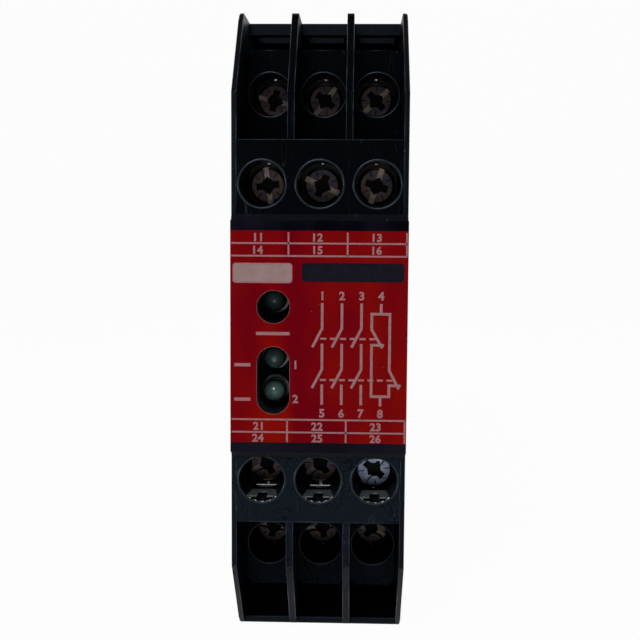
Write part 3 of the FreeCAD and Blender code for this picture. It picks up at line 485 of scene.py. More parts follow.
@dataclass(frozen=True)
class Palette:
    """Every finish of the relay."""

    case: Finish = Plastic("case_black", (0.0008, 0.0010, 0.0018), (0.050, 0.055, 0.065))
    # Painted shade and light: the two terminal covers are one black plastic. The upper copy is darker with a
    # weaker specular, which is painted shade. The lower copy is lighter, which is painted light; its fine
    # cracks are surface texture.
    upper: Finish = Plastic("upper_black_painted_shade", (0.0002, 0.0004, 0.0008), (0.040, 0.045, 0.055), specular=0.036)
    lower: Finish = Plastic(
        "lower_black_painted_light", (0.0048, 0.0064, 0.0100), (0.055, 0.060, 0.070), crackle=1.0, specular=0.045,
        tint=(0.55, 0.76, 1.0))
    # Painted light: a mid grey that makes the plastic wire guides in the lower holes and the cage edges round
    # the upper clamps read as lit surfaces.
    painted_light_grey: Finish = Coat("guide_grey_painted_light", (0.060, 0.068, 0.072), 0.34, specular=0.5, mottle=0.25, scale=1400.0)
    # Painted highlight: a bright metal for the saddle pips, the bars along the saddle edges and the glints
    # round the lower hole edges.
    glint: Finish = Plated("glint_painted_highlight", ((0.62, 0.60, 0.58), (0.70, 0.66, 0.60), (0.52, 0.54, 0.66)), 0.24)
    bezel: Finish = Plastic("bezel_black", (0.0012, 0.0011, 0.0020), (0.070, 0.068, 0.072), 0.36, 2600.0)
    inner: Finish = Plastic("inner_black", (0.0006, 0.0007, 0.0010), (0.02, 0.02, 0.025), 0.5)
    latch: Finish = Plastic("latch_black", (0.0022, 0.0023, 0.0032), (0.05, 0.05, 0.055), 0.38)
    film: Finish = Film(
        "front_film", (0.172, 0.0028, 0.0012), (0.112, 0.0002, 0.0036), (0.0010, 0.0010, 0.0028),
        (0.0044, 0.0040, 0.0072), -14.0 * MM, 13.2 * MM)
    ink: Finish = Coat("pale_ink", (0.27, 0.128, 0.135), 0.42, mottle=0.18, scale=2600.0)
    panel: Finish = Coat("pale_panel", (0.24, 0.158, 0.152), 0.4, mottle=0.12, scale=900.0)
    dark_ink: Finish = Coat("dark_ink", (0.0050, 0.0040, 0.0100), 0.36, mottle=0.3, scale=900.0)
    edge_fleck_coat: Finish = Coat("pale_edge_flecks", (0.34, 0.32, 0.33), 0.5, mottle=0.5, scale=5000.0)
    # Painted shade and reflection: the screw metal is darkened for the dim holes it sits in, and its pink and
    # golden tones stand for the brown surroundings that it reflects.
    screw: Finish = Plated(
        "screw_plating_painted_shade_and_reflection", ((0.105, 0.074, 0.074), (0.070, 0.066, 0.088), (0.150, 0.098, 0.052)),
        patch=420.0)
    # Painted light: the backed-out screw takes a brighter, bluer copy of the screw metal.
    lit_loose_screw: Finish = Plated(
        "screw_plating_painted_light", ((0.150, 0.185, 0.265), (0.215, 0.245, 0.330), (0.100, 0.105, 0.150)), 0.24,
        patch=700.0)
    # Painted shade: a near-black coat laid in the slot, cross and core of each screw head, where shade falls.
    recess: Finish = Coat(
        "recess_painted_shade", (0.0030, 0.0034, 0.0042), 0.5, specular=0.2, mottle=0.4, scale=2400.0)
    # Painted highlight: the floors at the two ends of each screw slot are much brighter than the head and
    # stand for light falling in; the loose screw's floors are brighter still.
    lit_slot_floor: Finish = Plated(
        "lit_slot_floor", ((0.42, 0.33, 0.26), (0.30, 0.26, 0.30), (0.50, 0.38, 0.22)), 0.34)
    lit_loose_slot_floor: Finish = Plated(
        "slot_floor_painted_light", ((0.40, 0.46, 0.62), (0.52, 0.56, 0.68), (0.34, 0.33, 0.42)), 0.3)
    # Painted highlight: a lighter, more specular black for the raised hole rims and for the lines along the
    # fin and step edges, so that edges read as catching light.
    rim: Finish = Plastic("rim_black_painted_highlight", (0.0030, 0.0036, 0.0050), (0.10, 0.10, 0.11), 0.30, specular=0.34)
    # Painted shade: the saddle metal is near black for the dark it reflects round the screw heads; its lit
    # edge and pip are separate glint pieces.
    saddle: Finish = Plated(
        "saddle_plating_painted_shade", ((0.030, 0.028, 0.028), (0.040, 0.038, 0.040), (0.020, 0.018, 0.016)), 0.30)
    tinned: Finish = Plated(
        "tinned_plate", ((0.10, 0.098, 0.094), (0.13, 0.128, 0.125), (0.08, 0.072, 0.06)), 0.40)
    spring: Finish = Plated("spring_wire", ((0.34, 0.34, 0.36), (0.42, 0.42, 0.44), (0.25, 0.23, 0.22)), 0.26)
    can: Finish = Plated("can_sleeve", ((0.40, 0.40, 0.41), (0.46, 0.46, 0.47), (0.36, 0.35, 0.34)), 0.34)
    resin: Finish = Resin("lamp_resin", (0.052, 0.110, 0.100), (0.170, 0.290, 0.262))
    board: Finish = Coat("board_green", (0.012, 0.085, 0.035), 0.34, mottle=0.35, scale=600.0)
    relay: Finish = Coat("relay_amber", (0.42, 0.20, 0.03), 0.3, mottle=0.1, scale=300.0)
    component: Finish = Coat("component_black", (0.012, 0.012, 0.013), 0.46)
    varistor: Finish = Coat("varistor_blue", (0.02, 0.08, 0.26), 0.38, mottle=0.12, scale=700.0)


class Plan(Graph):
    """A Geometry Nodes tree with named inputs, run once and kept as a plain mesh."""

    def __init__(self, name: str, inputs: dict[str, float], finish: Finish) -> None:
        """Start a tree.

        Args:
            name: the tree's name.
            inputs: its named inputs, where a whole number makes an integer socket.
            finish: the finish of the result.
        """
        tree = bpy.data.node_groups.new(name, "GeometryNodeTree")
        super().__init__(tree)
        self.name = name
        self.finish = finish.made
        self.values: dict[str, float] = {}
        tree.interface.new_socket(name="Geometry", in_out="OUTPUT", socket_type="NodeSocketGeometry")
        for label, value in inputs.items():
            kind = "NodeSocketInt" if isinstance(value, int) else "NodeSocketFloat"
            made = tree.interface.new_socket(name=label, in_out="INPUT", socket_type=kind)
            self.values[made.identifier] = value
        self.entry = self.node("NodeGroupInput")

    def given(self, label: str) -> Value:
        """Return a named input as a value."""
        return Value(self, self.entry.outputs[label])

    def circle(self, resolution: int, radius: str) -> bpy.types.NodeSocket:
        """Return a circle, its radius a named input."""
        return self.node("GeometryNodeCurvePrimitiveCircle", {"mode": "RADIUS"}, {
            "Resolution": resolution, "Radius": self.given(radius)}).outputs[0]

    def helix(self, resolution: int, turns: Any, height: str) -> bpy.types.NodeSocket:
        """Return a helix about Z, its height a named input."""
        radius = self.given("Radius")
        return self.node("GeometryNodeCurveSpiral", {}, {
            "Resolution": resolution, "Rotations": turns, "Start Radius": radius, "End Radius": radius,
            "Height": self.given(height)}).outputs[0]

    def swept(self, path: Any, section: Any, caps: bool = True) -> bpy.types.NodeSocket:
        """Return a section swept along a path."""
        return self.node("GeometryNodeCurveToMesh", {}, {
            "Curve": path, "Profile Curve": section, "Fill Caps": caps}).outputs[0]

    def along(self, axis: str, length: Any) -> bpy.types.NodeSocket:
        """Return a vector along one axis."""
        return self.node("ShaderNodeCombineXYZ", {}, {axis: length}).outputs[0]

    def drawn(self, low: Colour, high: Colour) -> bpy.types.NodeSocket:
        """Return a random vector between two, from the tree's own seed."""
        return self.node("FunctionNodeRandomValue", {"data_type": "FLOAT_VECTOR"}, {
            0: low, 1: high, "Seed": self.given("Seed")}).outputs[0]

    def mesh(self, source: bpy.types.NodeSocket) -> bpy.types.Mesh:
        """Close the tree and run it.

        Args:
            source: the geometry that the tree ends in.

        Returns:
            The mesh, with its instances made real.
        """
        real = self.node("GeometryNodeRealizeInstances", {}, {0: source})
        dressed = self.node(
            "GeometryNodeSetMaterial", {}, {"Geometry": real.outputs[0], "Material": self.finish})
        self.node("NodeGroupOutput", {}, {0: dressed.outputs[0]})
        holder = bpy.data.objects.new(self.name, bpy.data.meshes.new(self.name))
        bpy.context.scene.collection.objects.link(holder)
        modifier = holder.modifiers.new(self.name, "NODES")
        modifier.node_group = self.tree
        for identifier, value in self.values.items():
            modifier[identifier] = value
        graph = bpy.context.evaluated_depsgraph_get()
        made = bpy.data.meshes.new_from_object(
            holder.evaluated_get(graph), preserve_all_data_layers=True, depsgraph=graph)
        holder.modifiers.remove(modifier)
        bpy.data.objects.remove(holder)
        if not made.materials:
            made.materials.append(self.finish)
        return made


@dataclass
class Bench:
    """Where meshes become pieces: placed, smoothed, given to a body and set for CAD nodes."""

    palette: Palette
    broad: ClassVar[float] = 4.0  # square millimetres over which a face is shaded flat

    def piece(
        self,
        name: str,
        mesh: bpy.types.Mesh,
        slot: Slot,
        finish: Finish | None = None,
        body: str = Body.CASE.value,
        stands_for: Iterable[str] = (),
        smooth: float = 32.0,
    ) -> bpy.types.Object:
        """Make a piece from a mesh that is already in place.

        Args:
            name: the piece's name.
            mesh: its mesh, in the frame's metres.
            slot: the record's material slot; not used.
            finish: its finish, or None to keep the mesh's own.
            body: the body it moves with.
            stands_for: CAD nodes that it replaces.
            smooth: the angle in degrees over which edges stay sharp.

        Returns:
            The piece.
        """
        if finish is not None:
            mesh.materials.clear()
            mesh.materials.append(finish.made)
        self.smooth(mesh, smooth)
        made = bpy.data.objects.new(name, mesh)
        bpy.context.scene.collection.objects.link(made)
        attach(made, body)
        for node in stands_for:
            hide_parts(node)
        return made

    @staticmethod
    def smooth(mesh: bpy.types.Mesh, angle: float) -> None:
        """Shade a mesh smooth, apart from edges over an angle.

        Args:
            mesh: the mesh.
            angle: the angle in degrees.
        """
        work = bmesh.new()
        work.from_mesh(mesh)
        limit = math.radians(angle)
        for face in work.faces:
            face.smooth = not (len(face.verts) > 4 or face.calc_area() > Bench.broad * MM * MM)
        for edge in work.edges:
            edge.smooth = len(edge.link_faces) == 2 and edge.calc_face_angle(math.pi) < limit
        work.to_mesh(mesh)
        work.free()

    @staticmethod
    def copied(node: str) -> bmesh.types.BMesh:
        """Return a merged copy of a CAD node's mesh, its flat triangles joined.

        Args:
            node: the node's name.

        Returns:
            The copy, which the caller frees.
        """
        work = bmesh.new()
        work.from_mesh(frame["nodes"][node].data)
        bmesh.ops.remove_doubles(work, verts=work.verts, dist=0.002 * MM)
        bmesh.ops.dissolve_limit(
            work, angle_limit=math.radians(0.6), verts=work.verts, edges=work.edges, delimit={"NORMAL"})
        return work

    def rounded(self, node: str, finish: Finish, slot: Slot, width: float,
                body: str = Body.CASE.value) -> None:
        """Replace a CAD node by a copy whose edges are rounded.

        Args:
            node: the node's name.
            finish: its finish.
            slot: the record's material slot.
            width: the rounding in millimetres.
            body: the body it moves with.
        """
        name = f"{node}_finished"
        mesh = finished(self.copied(node), name, False)
        self.bevelled(self.piece(name, mesh, slot, finish, body, [node], 30.0), width)

    @staticmethod
    def bevelled(piece: bpy.types.Object, width: float) -> None:
        """Round a piece's edges.

        Args:
            piece: the piece.
            width: the rounding in millimetres.
        """
        for polygon in piece.data.polygons:
            polygon.use_smooth = True
        bevel = piece.modifiers.new("edges", "BEVEL")
        bevel.width = width * MM
        bevel.segments = 2
        bevel.limit_method = "ANGLE"
        bevel.angle_limit = math.radians(40.0)
        bevel.use_clamp_overlap = True
        bevel.harden_normals = True


def finished(work: bmesh.types.BMesh, name: str, outward: bool = True) -> bpy.types.Mesh:
    """Turn a mesh under way into a finished one.

    Args:
        work: the mesh under way, which is freed.
        name: the new mesh's name.
        outward: whether its faces are turned outward first.

    Returns:
        The mesh.
    """
    if outward:
        bmesh.ops.recalc_face_normals(work, faces=work.faces)
    made = bpy.data.meshes.new(name)
    work.to_mesh(made)
    work.free()
    return made


def joined(parts: Sequence[bpy.types.Mesh]) -> bpy.types.Mesh:
    """Join meshes, which are removed, into one."""
    work = bmesh.new()
    for part in parts:
        work.from_mesh(part)
    made = finished(work, parts[0].name, False)
    for part in parts:
        bpy.data.meshes.remove(part)
    return made


def arc(across: float, up: float, radius: float, angles: Iterable[float]) -> list[Point]:
    """Return points on a circle about a middle, at angles in degrees."""
    return [(across + radius * math.cos(math.radians(angle)), up + radius * math.sin(math.radians(angle)))
            for angle in angles]


def block(work: bmesh.types.BMesh, low: Sequence[float], high: Sequence[float], turn: float = 0.0) -> None:
    """Add a box between two corners in millimetres, turned about Y through the origin.

    Args:
        work: the mesh under way.
        low: the lowest corner.
        high: the highest corner.
        turn: the turn in degrees.
    """
    size = [b - a for a, b in zip(low, high)]
    middle = [(a + b) / 2 for a, b in zip(low, high)]
    place = (Matrix.Rotation(math.radians(turn), 4, "Y")
             @ Matrix.Translation(Vector(middle) * MM)
             @ Matrix.Diagonal((*(s * MM for s in size), 1.0)))
    bmesh.ops.create_cube(work, size=1.0, matrix=place)


def rod(work: bmesh.types.BMesh, start: Sequence[float], end: Sequence[float], radius: float) -> None:
    """Add a thin round rod between two points in millimetres.

    Args:
        work: the mesh under way.
        start: its first end.
        end: its other end.
        radius: its radius in millimetres.
    """
    first, last = Vector(start) * MM, Vector(end) * MM
    way = last - first
    place = Matrix.Translation((first + last) / 2) @ way.to_track_quat("Z", "Y").to_matrix().to_4x4()
    bmesh.ops.create_cone(work, cap_ends=True, segments=8, radius1=radius * MM, radius2=radius * MM,
                          depth=way.length + radius * MM, matrix=place)


def trace(work: bmesh.types.BMesh, points: Sequence[Sequence[float]], *radii: float) -> None:
    """Add a rod along each stretch of a path, with the radii in turn."""
    for number, (start, end) in enumerate(zip(points, points[1:])):
        rod(work, start, end, radii[number % len(radii)])


@dataclass
class Clamp:
    """One terminal: where its screw stands and how far it is turned."""

    end: str
    tier: str
    column: str
    turn: float

    @property
    def tag(self) -> str:
        """Return the ending of its node and body names."""
        return f"{self.end}_{self.tier}_{self.column}"

    @property
    def loose(self) -> bool:
        """Return whether its screw is backed out."""
        return (self.end, self.tier, self.column) == ("lower", "one", "right")

    @property
    def wire_side(self) -> float:
        """Return 1 where the wire comes in from above, and -1 from below."""
        return 1.0 if self.end == "upper" else -1.0

    @property
    def seat(self) -> Vector:
        """Return the middle of the face under the screw's head, in metres."""
        low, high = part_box(f"screw_{self.tag}")
        return Vector(((low.x + high.x) / 2, low.y + Terminals.head_height * MM, (low.z + high.z) / 2))


@dataclass
class Terminals:
    """The twelve clamp screws with their saddles and contact plates."""

    bench: Bench
    head_width: float = 4.95
    head_height: float = 2.0
    head_bevel: float = 0.34
    slot_width: float = 0.8
    slot_depth: float = 0.9
    cross_width: float = 0.95
    cross_span: float = 3.1
    cross_depth: float = 1.2
    core: float = 2.15
    core_depth: float = 1.5
    tick_width: float = 0.13
    tick_start: float = 1.35
    tick_depth: float = 0.16
    shank_length: float = 6.0
    thread_width: float = 3.0
    thread_pitch: float = 0.5
    ridge: float = 0.17
    edge_reach: float = 2.2
    crescent_radius: float = 2.93
    guide_width: float = 4.0
    guide_notch: float = 1.3
    guide_drop: float = 2.25
    guide_depths: tuple[float, float, float] = (0.5, 2.7, 4.1)
    cage: tuple[Point, ...] = ((-2.75, 1.9), (-1.95, 2.75), (-0.6, 2.9), (1.95, 2.85), (2.6, 2.2))
    turns: dict[tuple[str, str], tuple[float, float, float]] = field(default_factory=lambda: {
        ("upper", "one"): (98.0, -23.5, 71.6),
        ("upper", "two"): (-13.0, 52.6, 43.0),
        ("lower", "one"): (27.6, 38.4, 52.0),
        ("lower", "two"): (-9.5, 10.0, -33.7),
    })

    def clamps(self) -> list[Clamp]:
        """Return the twelve clamps."""
        return [Clamp(end, tier, column, turn)
                for (end, tier), angles in self.turns.items()
                for column, turn in zip(("left", "middle", "right"), angles)]

    def head(self) -> bpy.types.Mesh:
        """Cut one screw head: slot, cross recess, square core and four ticks.

        Returns:
            The head about the Y axis, its seat at 0 and its slot along X.
        """
        work = bmesh.new()
        top, half = -self.head_height, self.head_width / 2
        above = top - 0.5
        bmesh.ops.create_cone(
            work, cap_ends=True, segments=72, radius1=half * MM, radius2=half * MM,
            depth=self.head_height * MM,
            matrix=Matrix.Translation((0, top / 2 * MM, 0)) @ Matrix.Rotation(math.radians(90), 4, "X"))
        rim = [e for e in work.edges if all(abs(v.co.y - top * MM) < 1e-7 for v in e.verts)]
        bmesh.ops.bevel(work, geom=rim, offset=self.head_bevel * MM, segments=4, profile=0.5, affect="EDGES")
        side = self.core / 2 / math.sqrt(2) * 1.2
        slot, cross, tick = self.slot_width / 2, self.cross_width / 2, self.tick_width / 2
        cuts = [((-half - 1, -slot), (half + 1, slot), self.slot_depth, 0.0),
                ((-cross, -self.cross_span / 2), (cross, self.cross_span / 2), self.cross_depth, 0.0),
                ((-side, -side), (side, side), self.core_depth, 45.0)]
        cuts += [((self.tick_start, -tick), (half - self.head_bevel, tick), self.tick_depth, angle)
                 for angle in (45.0, 135.0, 225.0, 315.0)]
        cutters = []
        for low, high, depth, turn in cuts:
            cutter = bmesh.new()
            block(cutter, (low[0], above, low[1]), (high[0], top + depth, high[1]), turn)
            cutters.append(finished(cutter, "cutter"))
        return self.cut(finished(work, "head"), cutters)

    @staticmethod
    def cut(solid: bpy.types.Mesh, cutters: Sequence[bpy.types.Mesh]) -> bpy.types.Mesh:
        """Take cutters away from a solid and round the cut edges.

        Args:
            solid: the solid.
            cutters: what is taken away, one by one.

        Returns:
            What is left.
        """
        scene = bpy.context.scene.collection.objects
        main = bpy.data.objects.new("solid", solid)
        scene.link(main)
        tools = []
        for cutter in cutters:
            tool = bpy.data.objects.new("cutter", cutter)
            scene.link(tool)
            tools.append(tool)
            step = main.modifiers.new("cut", "BOOLEAN")
            step.operation = "DIFFERENCE"
            step.solver = "EXACT"
            step.object = tool
        bevel = main.modifiers.new("edges", "BEVEL")
        bevel.width = 0.04 * MM
        bevel.segments = 1
        bevel.limit_method = "ANGLE"
        bevel.angle_limit = math.radians(40.0)
        graph = bpy.context.evaluated_depsgraph_get()
        made = bpy.data.meshes.new_from_object(main.evaluated_get(graph), depsgraph=graph)
        for item in (main, *tools):
            bpy.data.objects.remove(item)
        return made

    def paint_recess_shade(self, screw: bpy.types.Mesh) -> None:
        """Paint shade into the recess, and a painted highlight onto the floors of the slot's two ends.

        Args:
            screw: the screw about the Y axis, with its metal, recess-shade and lit slot-floor finishes.
        """
        top = -self.head_height * MM
        for face in screw.polygons:
            across = math.hypot(face.center.x, face.center.z)
            inside = face.center.y > top + 0.06 * MM and across < (self.head_width / 2 - 0.05) * MM
            below = face.center.y < top + (self.core_depth + 0.1) * MM
            slot_end = (abs(face.normal.y) > 0.95 and abs(face.center.x) > self.core / 2 * MM
                        and abs(face.center.z) < self.slot_width / 2 * MM)
            rim = across > (self.head_width / 2 - self.head_bevel - 0.05) * MM and face.normal.y < -0.05
            if inside and below and not rim:
                face.material_index = 2 if slot_end else 1

    def thread(self, finish: Finish) -> bpy.types.Mesh:
        """Wind the thread's ridge round its core.

        Args:
            finish: its finish.

        Returns:
            The shank about the Y axis, from the seat at 0 to its end.
        """
        plan = Plan("clamp_thread", {
            "Radius": (self.thread_width / 2 - self.ridge) * MM, "Ridge": self.ridge * MM,
            "Length": (self.shank_length - 0.5) * MM, "Pitch": self.thread_pitch * MM}, finish)
        turns = plan.node("ShaderNodeMath", {"operation": "DIVIDE"},
                          {0: plan.given("Length"), 1: plan.given("Pitch")})
        wound = plan.swept(plan.helix(20, turns.outputs[0], "Length"), plan.circle(4, "Ridge"))
        core = plan.node("GeometryNodeMeshCylinder", {}, {
            "Vertices": 24, "Radius": plan.given("Radius"), "Depth": plan.given("Length")})
        lifted = plan.node("GeometryNodeTransform", {}, {
            "Geometry": core.outputs["Mesh"], "Translation": plan.along("Z", plan.given("Length") * 0.5)})
        both = plan.node("GeometryNodeJoinGeometry")
        for part in (wound, lifted.outputs[0]):
            plan.tree.links.new(part, both.inputs[0])
        made = plan.mesh(both.outputs[0])
        made.transform(Matrix.Translation((0, 0.22 * MM, 0)) @ Matrix.Rotation(math.radians(-90), 4, "X"))
        return made

    def saddle_pip(self, clamp: Clamp) -> bpy.types.Mesh:
        """Dome the saddle's lip beside the screw's head, on the wire's side.

        Args:
            clamp: the terminal.

        Returns:
            The dome, in place.
        """
        work = bmesh.new()
        bmesh.ops.create_uvsphere(work, u_segments=20, v_segments=10, radius=0.36 * MM)
        low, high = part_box(f"saddle_{clamp.tag}")
        edge = high.z if clamp.wire_side > 0 else low.z
        place = Vector((clamp.seat.x, clamp.seat.y + 0.16 * MM, edge - clamp.wire_side * 0.42 * MM))
        for vert in work.verts:
            vert.co = Vector((vert.co.x * 1.25, vert.co.y * 0.55, vert.co.z)) + place
            vert.co.y = max(vert.co.y, clamp.seat.y - 0.03 * MM)
        return finished(work, "pip")

    def saddle_highlight(self, clamp: Clamp) -> bpy.types.Mesh:
        """Draw a painted highlight along a saddle's edge on the wire's side, with a bead at each end.

        Args:
            clamp: the terminal.

        Returns:
            The edge, in place.
        """
        low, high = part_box(f"saddle_{clamp.tag}")
        edge = (high.z if clamp.wire_side > 0 else low.z) / MM
        up, deep = edge - clamp.wire_side * 0.05, low.y / MM - 0.02
        middle = clamp.seat.x / MM
        ends = [(middle + side * self.edge_reach, deep, up) for side in (-1, 1)]
        work = bmesh.new()
        rod(work, *ends, 0.09)
        for end in ends:
            bmesh.ops.create_icosphere(
                work, subdivisions=2, radius=0.17 * MM, matrix=Matrix.Translation(Vector(end) * MM))
        return finished(work, "saddle_highlight")

    def cage_edge(self, clamp: Clamp) -> bpy.types.Mesh:
        """Draw the lit front edge of the cage round an upper clamp.

        Args:
            clamp: the terminal.

        Returns:
            The edge, in place.
        """
        x, y, z = (value / MM for value in clamp.seat)
        path = [(x + across, y - 0.9, z + up) for across, up in self.cage]
        work = bmesh.new()
        trace(work, path, 0.06)
        return finished(work, "cage_edge")

    def guide(self, clamp: Clamp) -> bpy.types.Mesh:
        """Cut the notched guide that lies on the lower side of a driver hole.

        Args:
            clamp: the terminal.

        Returns:
            The guide, in place.
        """
        x, _, z = (value / MM for value in clamp.seat)
        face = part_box(f"{clamp.end}_terminal_cover")[0].y / MM
        wide, notch = self.guide_width / 2, self.guide_notch / 2
        front, floor, back = (face + depth for depth in self.guide_depths)
        outline = [(-wide, front), (-notch, front), (-notch, floor), (notch, floor), (notch, front),
                   (wide, front), (wide * 0.8, back), (-wide * 0.8, back)]
        work = bmesh.new()
        sheet = work.faces.new([
            work.verts.new(((x + across) * MM, deep * MM, (z - self.guide_drop) * MM))
            for across, deep in outline])
        solid = bmesh.ops.extrude_face_region(work, geom=[sheet])
        for item in solid["geom"]:
            if isinstance(item, bmesh.types.BMVert):
                item.co.z -= 0.22 * MM
        return finished(work, "wire_guide")

    def crescent(self, clamp: Clamp) -> bpy.types.Mesh:
        """Trace a painted glint along the lower edge of a driver hole.

        Args:
            clamp: the terminal.

        Returns:
            The edge, in place.
        """
        x, _, z = (value / MM for value in clamp.seat)
        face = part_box(f"{clamp.end}_terminal_cover")[0].y / MM
        ring = arc(x, z, self.crescent_radius, range(222, 319, 6))
        work = bmesh.new()
        trace(work, [(across, face + 0.12, up) for across, up in ring], 0.025, 0.045, 0.065)
        return finished(work, "hole_glint")

    def build(self) -> None:
        """Make every terminal."""
        bench, palette, case = self.bench, self.bench.palette, Body.CASE.value
        head = self.head()
        shank = self.thread(palette.screw)
        for clamp in self.clamps():
            carrier = f"saddle_body_{clamp.tag}"
            screw = joined([head.copy(), shank.copy()])
            screw.materials.clear()
            metal = palette.lit_loose_screw if clamp.loose else palette.screw
            for part in (metal, palette.recess, palette.lit_loose_slot_floor if clamp.loose else palette.lit_slot_floor):
                screw.materials.append(part.made)
            self.paint_recess_shade(screw)
            turned = Matrix.Rotation(math.radians(-clamp.turn), 4, "Y")
            screw.transform(Matrix.Translation(clamp.seat) @ turned)
            bench.piece(f"clamp_screw_{clamp.tag}", screw, Slot.SCREW, None, f"screw_body_{clamp.tag}",
                        [f"screw_{clamp.tag}"], 28.0)
            bench.rounded(f"saddle_{clamp.tag}", palette.saddle, Slot.SADDLE, 0.14, carrier)
            # The saddle pip is a small dome on the saddle that takes the bright glint finish as a painted
            # highlight.
            bench.piece(f"saddle_pip_{clamp.tag}", self.saddle_pip(clamp), Slot.SADDLE, palette.glint,
                        carrier)
            bench.rounded(f"contact_{clamp.tag}", palette.tinned, Slot.TINNED, 0.08)
            trims = []
            # These trims carry painted light: the cage edge and wire guide in grey, and the hole glint and
            # saddle highlight in bright metal.
            if (clamp.end, clamp.tier) == ("upper", "two"):
                trims = [("cage_edge", self.cage_edge, Slot.TINNED, palette.painted_light_grey, case)]
            if (clamp.end, clamp.tier) == ("lower", "one"):
                trims = [("wire_guide", self.guide, Slot.PLASTIC, palette.painted_light_grey, case),
                         ("hole_glint", self.crescent, Slot.PLASTIC, palette.glint, case),
                         ("saddle_highlight", self.saddle_highlight, Slot.SADDLE, palette.glint, carrier)]
            for name, drawn, slot, finish, body in trims[:2] if clamp.loose else trims:
                bench.piece(f"{name}_{clamp.tag}", drawn(clamp), slot, finish, body)
        bpy.data.meshes.remove(head)
        bpy.data.meshes.remove(shank)
        log.info("terminals: %d clamps", len(self.clamps()))


@dataclass
class Mouldings:
    """The case, the terminal covers and the inner mouldings."""

    bench: Bench
    edge: float = 0.2
    driver_hole: float = 5.97
    rim_width: float = 0.17
    step_back: float = 13.89
    lip_thick: float = 1.1
    lip_front: float = 10.7
    lip_back: float = 19.6
    tier_one: float = 0.87
    cover_start: float = 14.7
    step_height: float = 24.65
    floor_end: float = 37.6
    fin_run: float = 30.6
    fin_end: float = 10.6
    case_end: float = 42.0
    edge_line: float = 0.055
    line_lift: float = 0.03
    tip_back: float = 0.9
    tip_down: float = 1.1
    outer_lines: tuple[float, ...] = (-11.2, -10.64, 10.64, 11.2)
    inner_fins: tuple[float, ...] = (-3.7, 3.7)
    flank: float = 0.42
    step_reach: float = 10.4
    nick: float = 0.7
    bays: tuple[Point, ...] = ((-10.5, -4.2), (-3.2, 3.2), (4.2, 10.5))

    def rims(self, end: str, tier: str) -> bpy.types.Mesh:
        """Lay a row of raised rims round the driver holes.

        Args:
            end: upper or lower.
            tier: one or two.

        Returns:
            The row, in place.
        """
        left, middle = (Clamp(end, tier, column, 0.0).seat for column in ("left", "middle"))
        plan = Plan(f"hole_rims_{end}_{tier}", {
            "Radius": (self.driver_hole + self.rim_width) / 2 * MM, "Rim": self.rim_width * MM,
            "Pitch": middle.x - left.x, "Columns": 3}, self.bench.palette.rim)
        raised = plan.swept(plan.circle(96, "Radius"), plan.circle(12, "Rim"), False)
        row = plan.node("GeometryNodeMeshLine", {"mode": "OFFSET"}, {
            "Count": plan.given("Columns"), "Offset": plan.along("X", plan.given("Pitch"))})
        placed = plan.node("GeometryNodeInstanceOnPoints", {}, {"Points": row.outputs[0], "Instance": raised})
        made = plan.mesh(placed.outputs[0])
        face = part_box(f"{end}_terminal_cover")[0].y + (self.step_back * MM if tier == "two" else 0.0)
        made.transform(Matrix.Translation((left.x, face + self.rim_width * 0.62 * MM, left.z))
                       @ Matrix.Rotation(math.radians(90), 4, "X"))
        return made

    def painted_highlight_edges(self, end: str) -> bpy.types.Mesh:
        """Trace painted highlight lines along the edges of the fins and steps at one end.

        Args:
            end: upper or lower.

        Returns:
            The edges, in place.
        """
        side = 1.0 if end == "upper" else -1.0
        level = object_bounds()[0][1] / MM + self.line_lift
        slope = [(self.tier_one, self.fin_run), (self.fin_end - self.tip_back, self.case_end - self.tip_down)]
        outer = [(self.tier_one, self.cover_start), *slope]
        inner = [(self.tier_one, self.step_height), *slope]
        tracks = [(x, outer) for x in self.outer_lines]
        tracks += [(middle + flank, inner)
                   for middle in self.inner_fins for flank in (-self.flank, self.flank)]
        paths = [[(x, level + deep, side * up) for deep, up in track] for x, track in tracks]
        paths.append([(x, level + self.tier_one, side * self.step_height)
                      for x in (-self.step_reach, self.step_reach)])
        if end == "upper":
            back, low = level + self.tier_one + self.step_back, self.floor_end - self.nick
            paths += [[(left, back, low), (left + self.nick, back, self.floor_end),
                       (right - self.nick, back, self.floor_end), (right, back, low)]
                      for left, right in self.bays]
        work = bmesh.new()
        for path in paths:
            trace(work, path, self.edge_line)
        return finished(work, f"painted_highlight_edges_{end}")

    def lip(self) -> bpy.types.Mesh:
        """Add a black block across the lower end, between the outer fins and out to their tips.

        Returns:
            The lip, in place.
        """
        low, high = (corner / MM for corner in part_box("housing"))
        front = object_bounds()[0][1] / MM
        work = bmesh.new()
        block(work, (low.x + 0.3, front + self.lip_front, low.z + 0.02),
              (high.x - 0.3, front + self.lip_back, low.z + self.lip_thick))
        return finished(work, "end_lip")

    def build(self) -> None:
        """Dress the mouldings."""
        bench, palette = self.bench, self.bench.palette
        for end in ("upper", "lower"):
            for tier in ("one", "two"):
                bench.piece(f"hole_rims_{end}_{tier}", self.rims(end, tier), Slot.PLASTIC, palette.rim)
            bench.piece(f"painted_highlight_edges_{end}", self.painted_highlight_edges(end), Slot.PLASTIC, palette.rim)
        bench.bevelled(bench.piece("lower_end_lip", self.lip(), Slot.PLASTIC, palette.case), 0.35)
        bench.rounded("housing", palette.case, Slot.PLASTIC, self.edge)
        # The covers take the shaded and the lit copies of one plastic: painted shade above, painted light
        # below.
        for end, cover in (("upper", palette.upper), ("lower", palette.lower)):
            bench.rounded(f"{end}_terminal_cover", cover, Slot.PLASTIC, self.edge)
            bench.rounded(f"{end}_terminal_base", palette.inner, Slot.INNER, 0.1)
        bench.rounded("lamp_holder", palette.inner, Slot.INNER, 0.1)
        log.info("mouldings: housing, covers and bases")


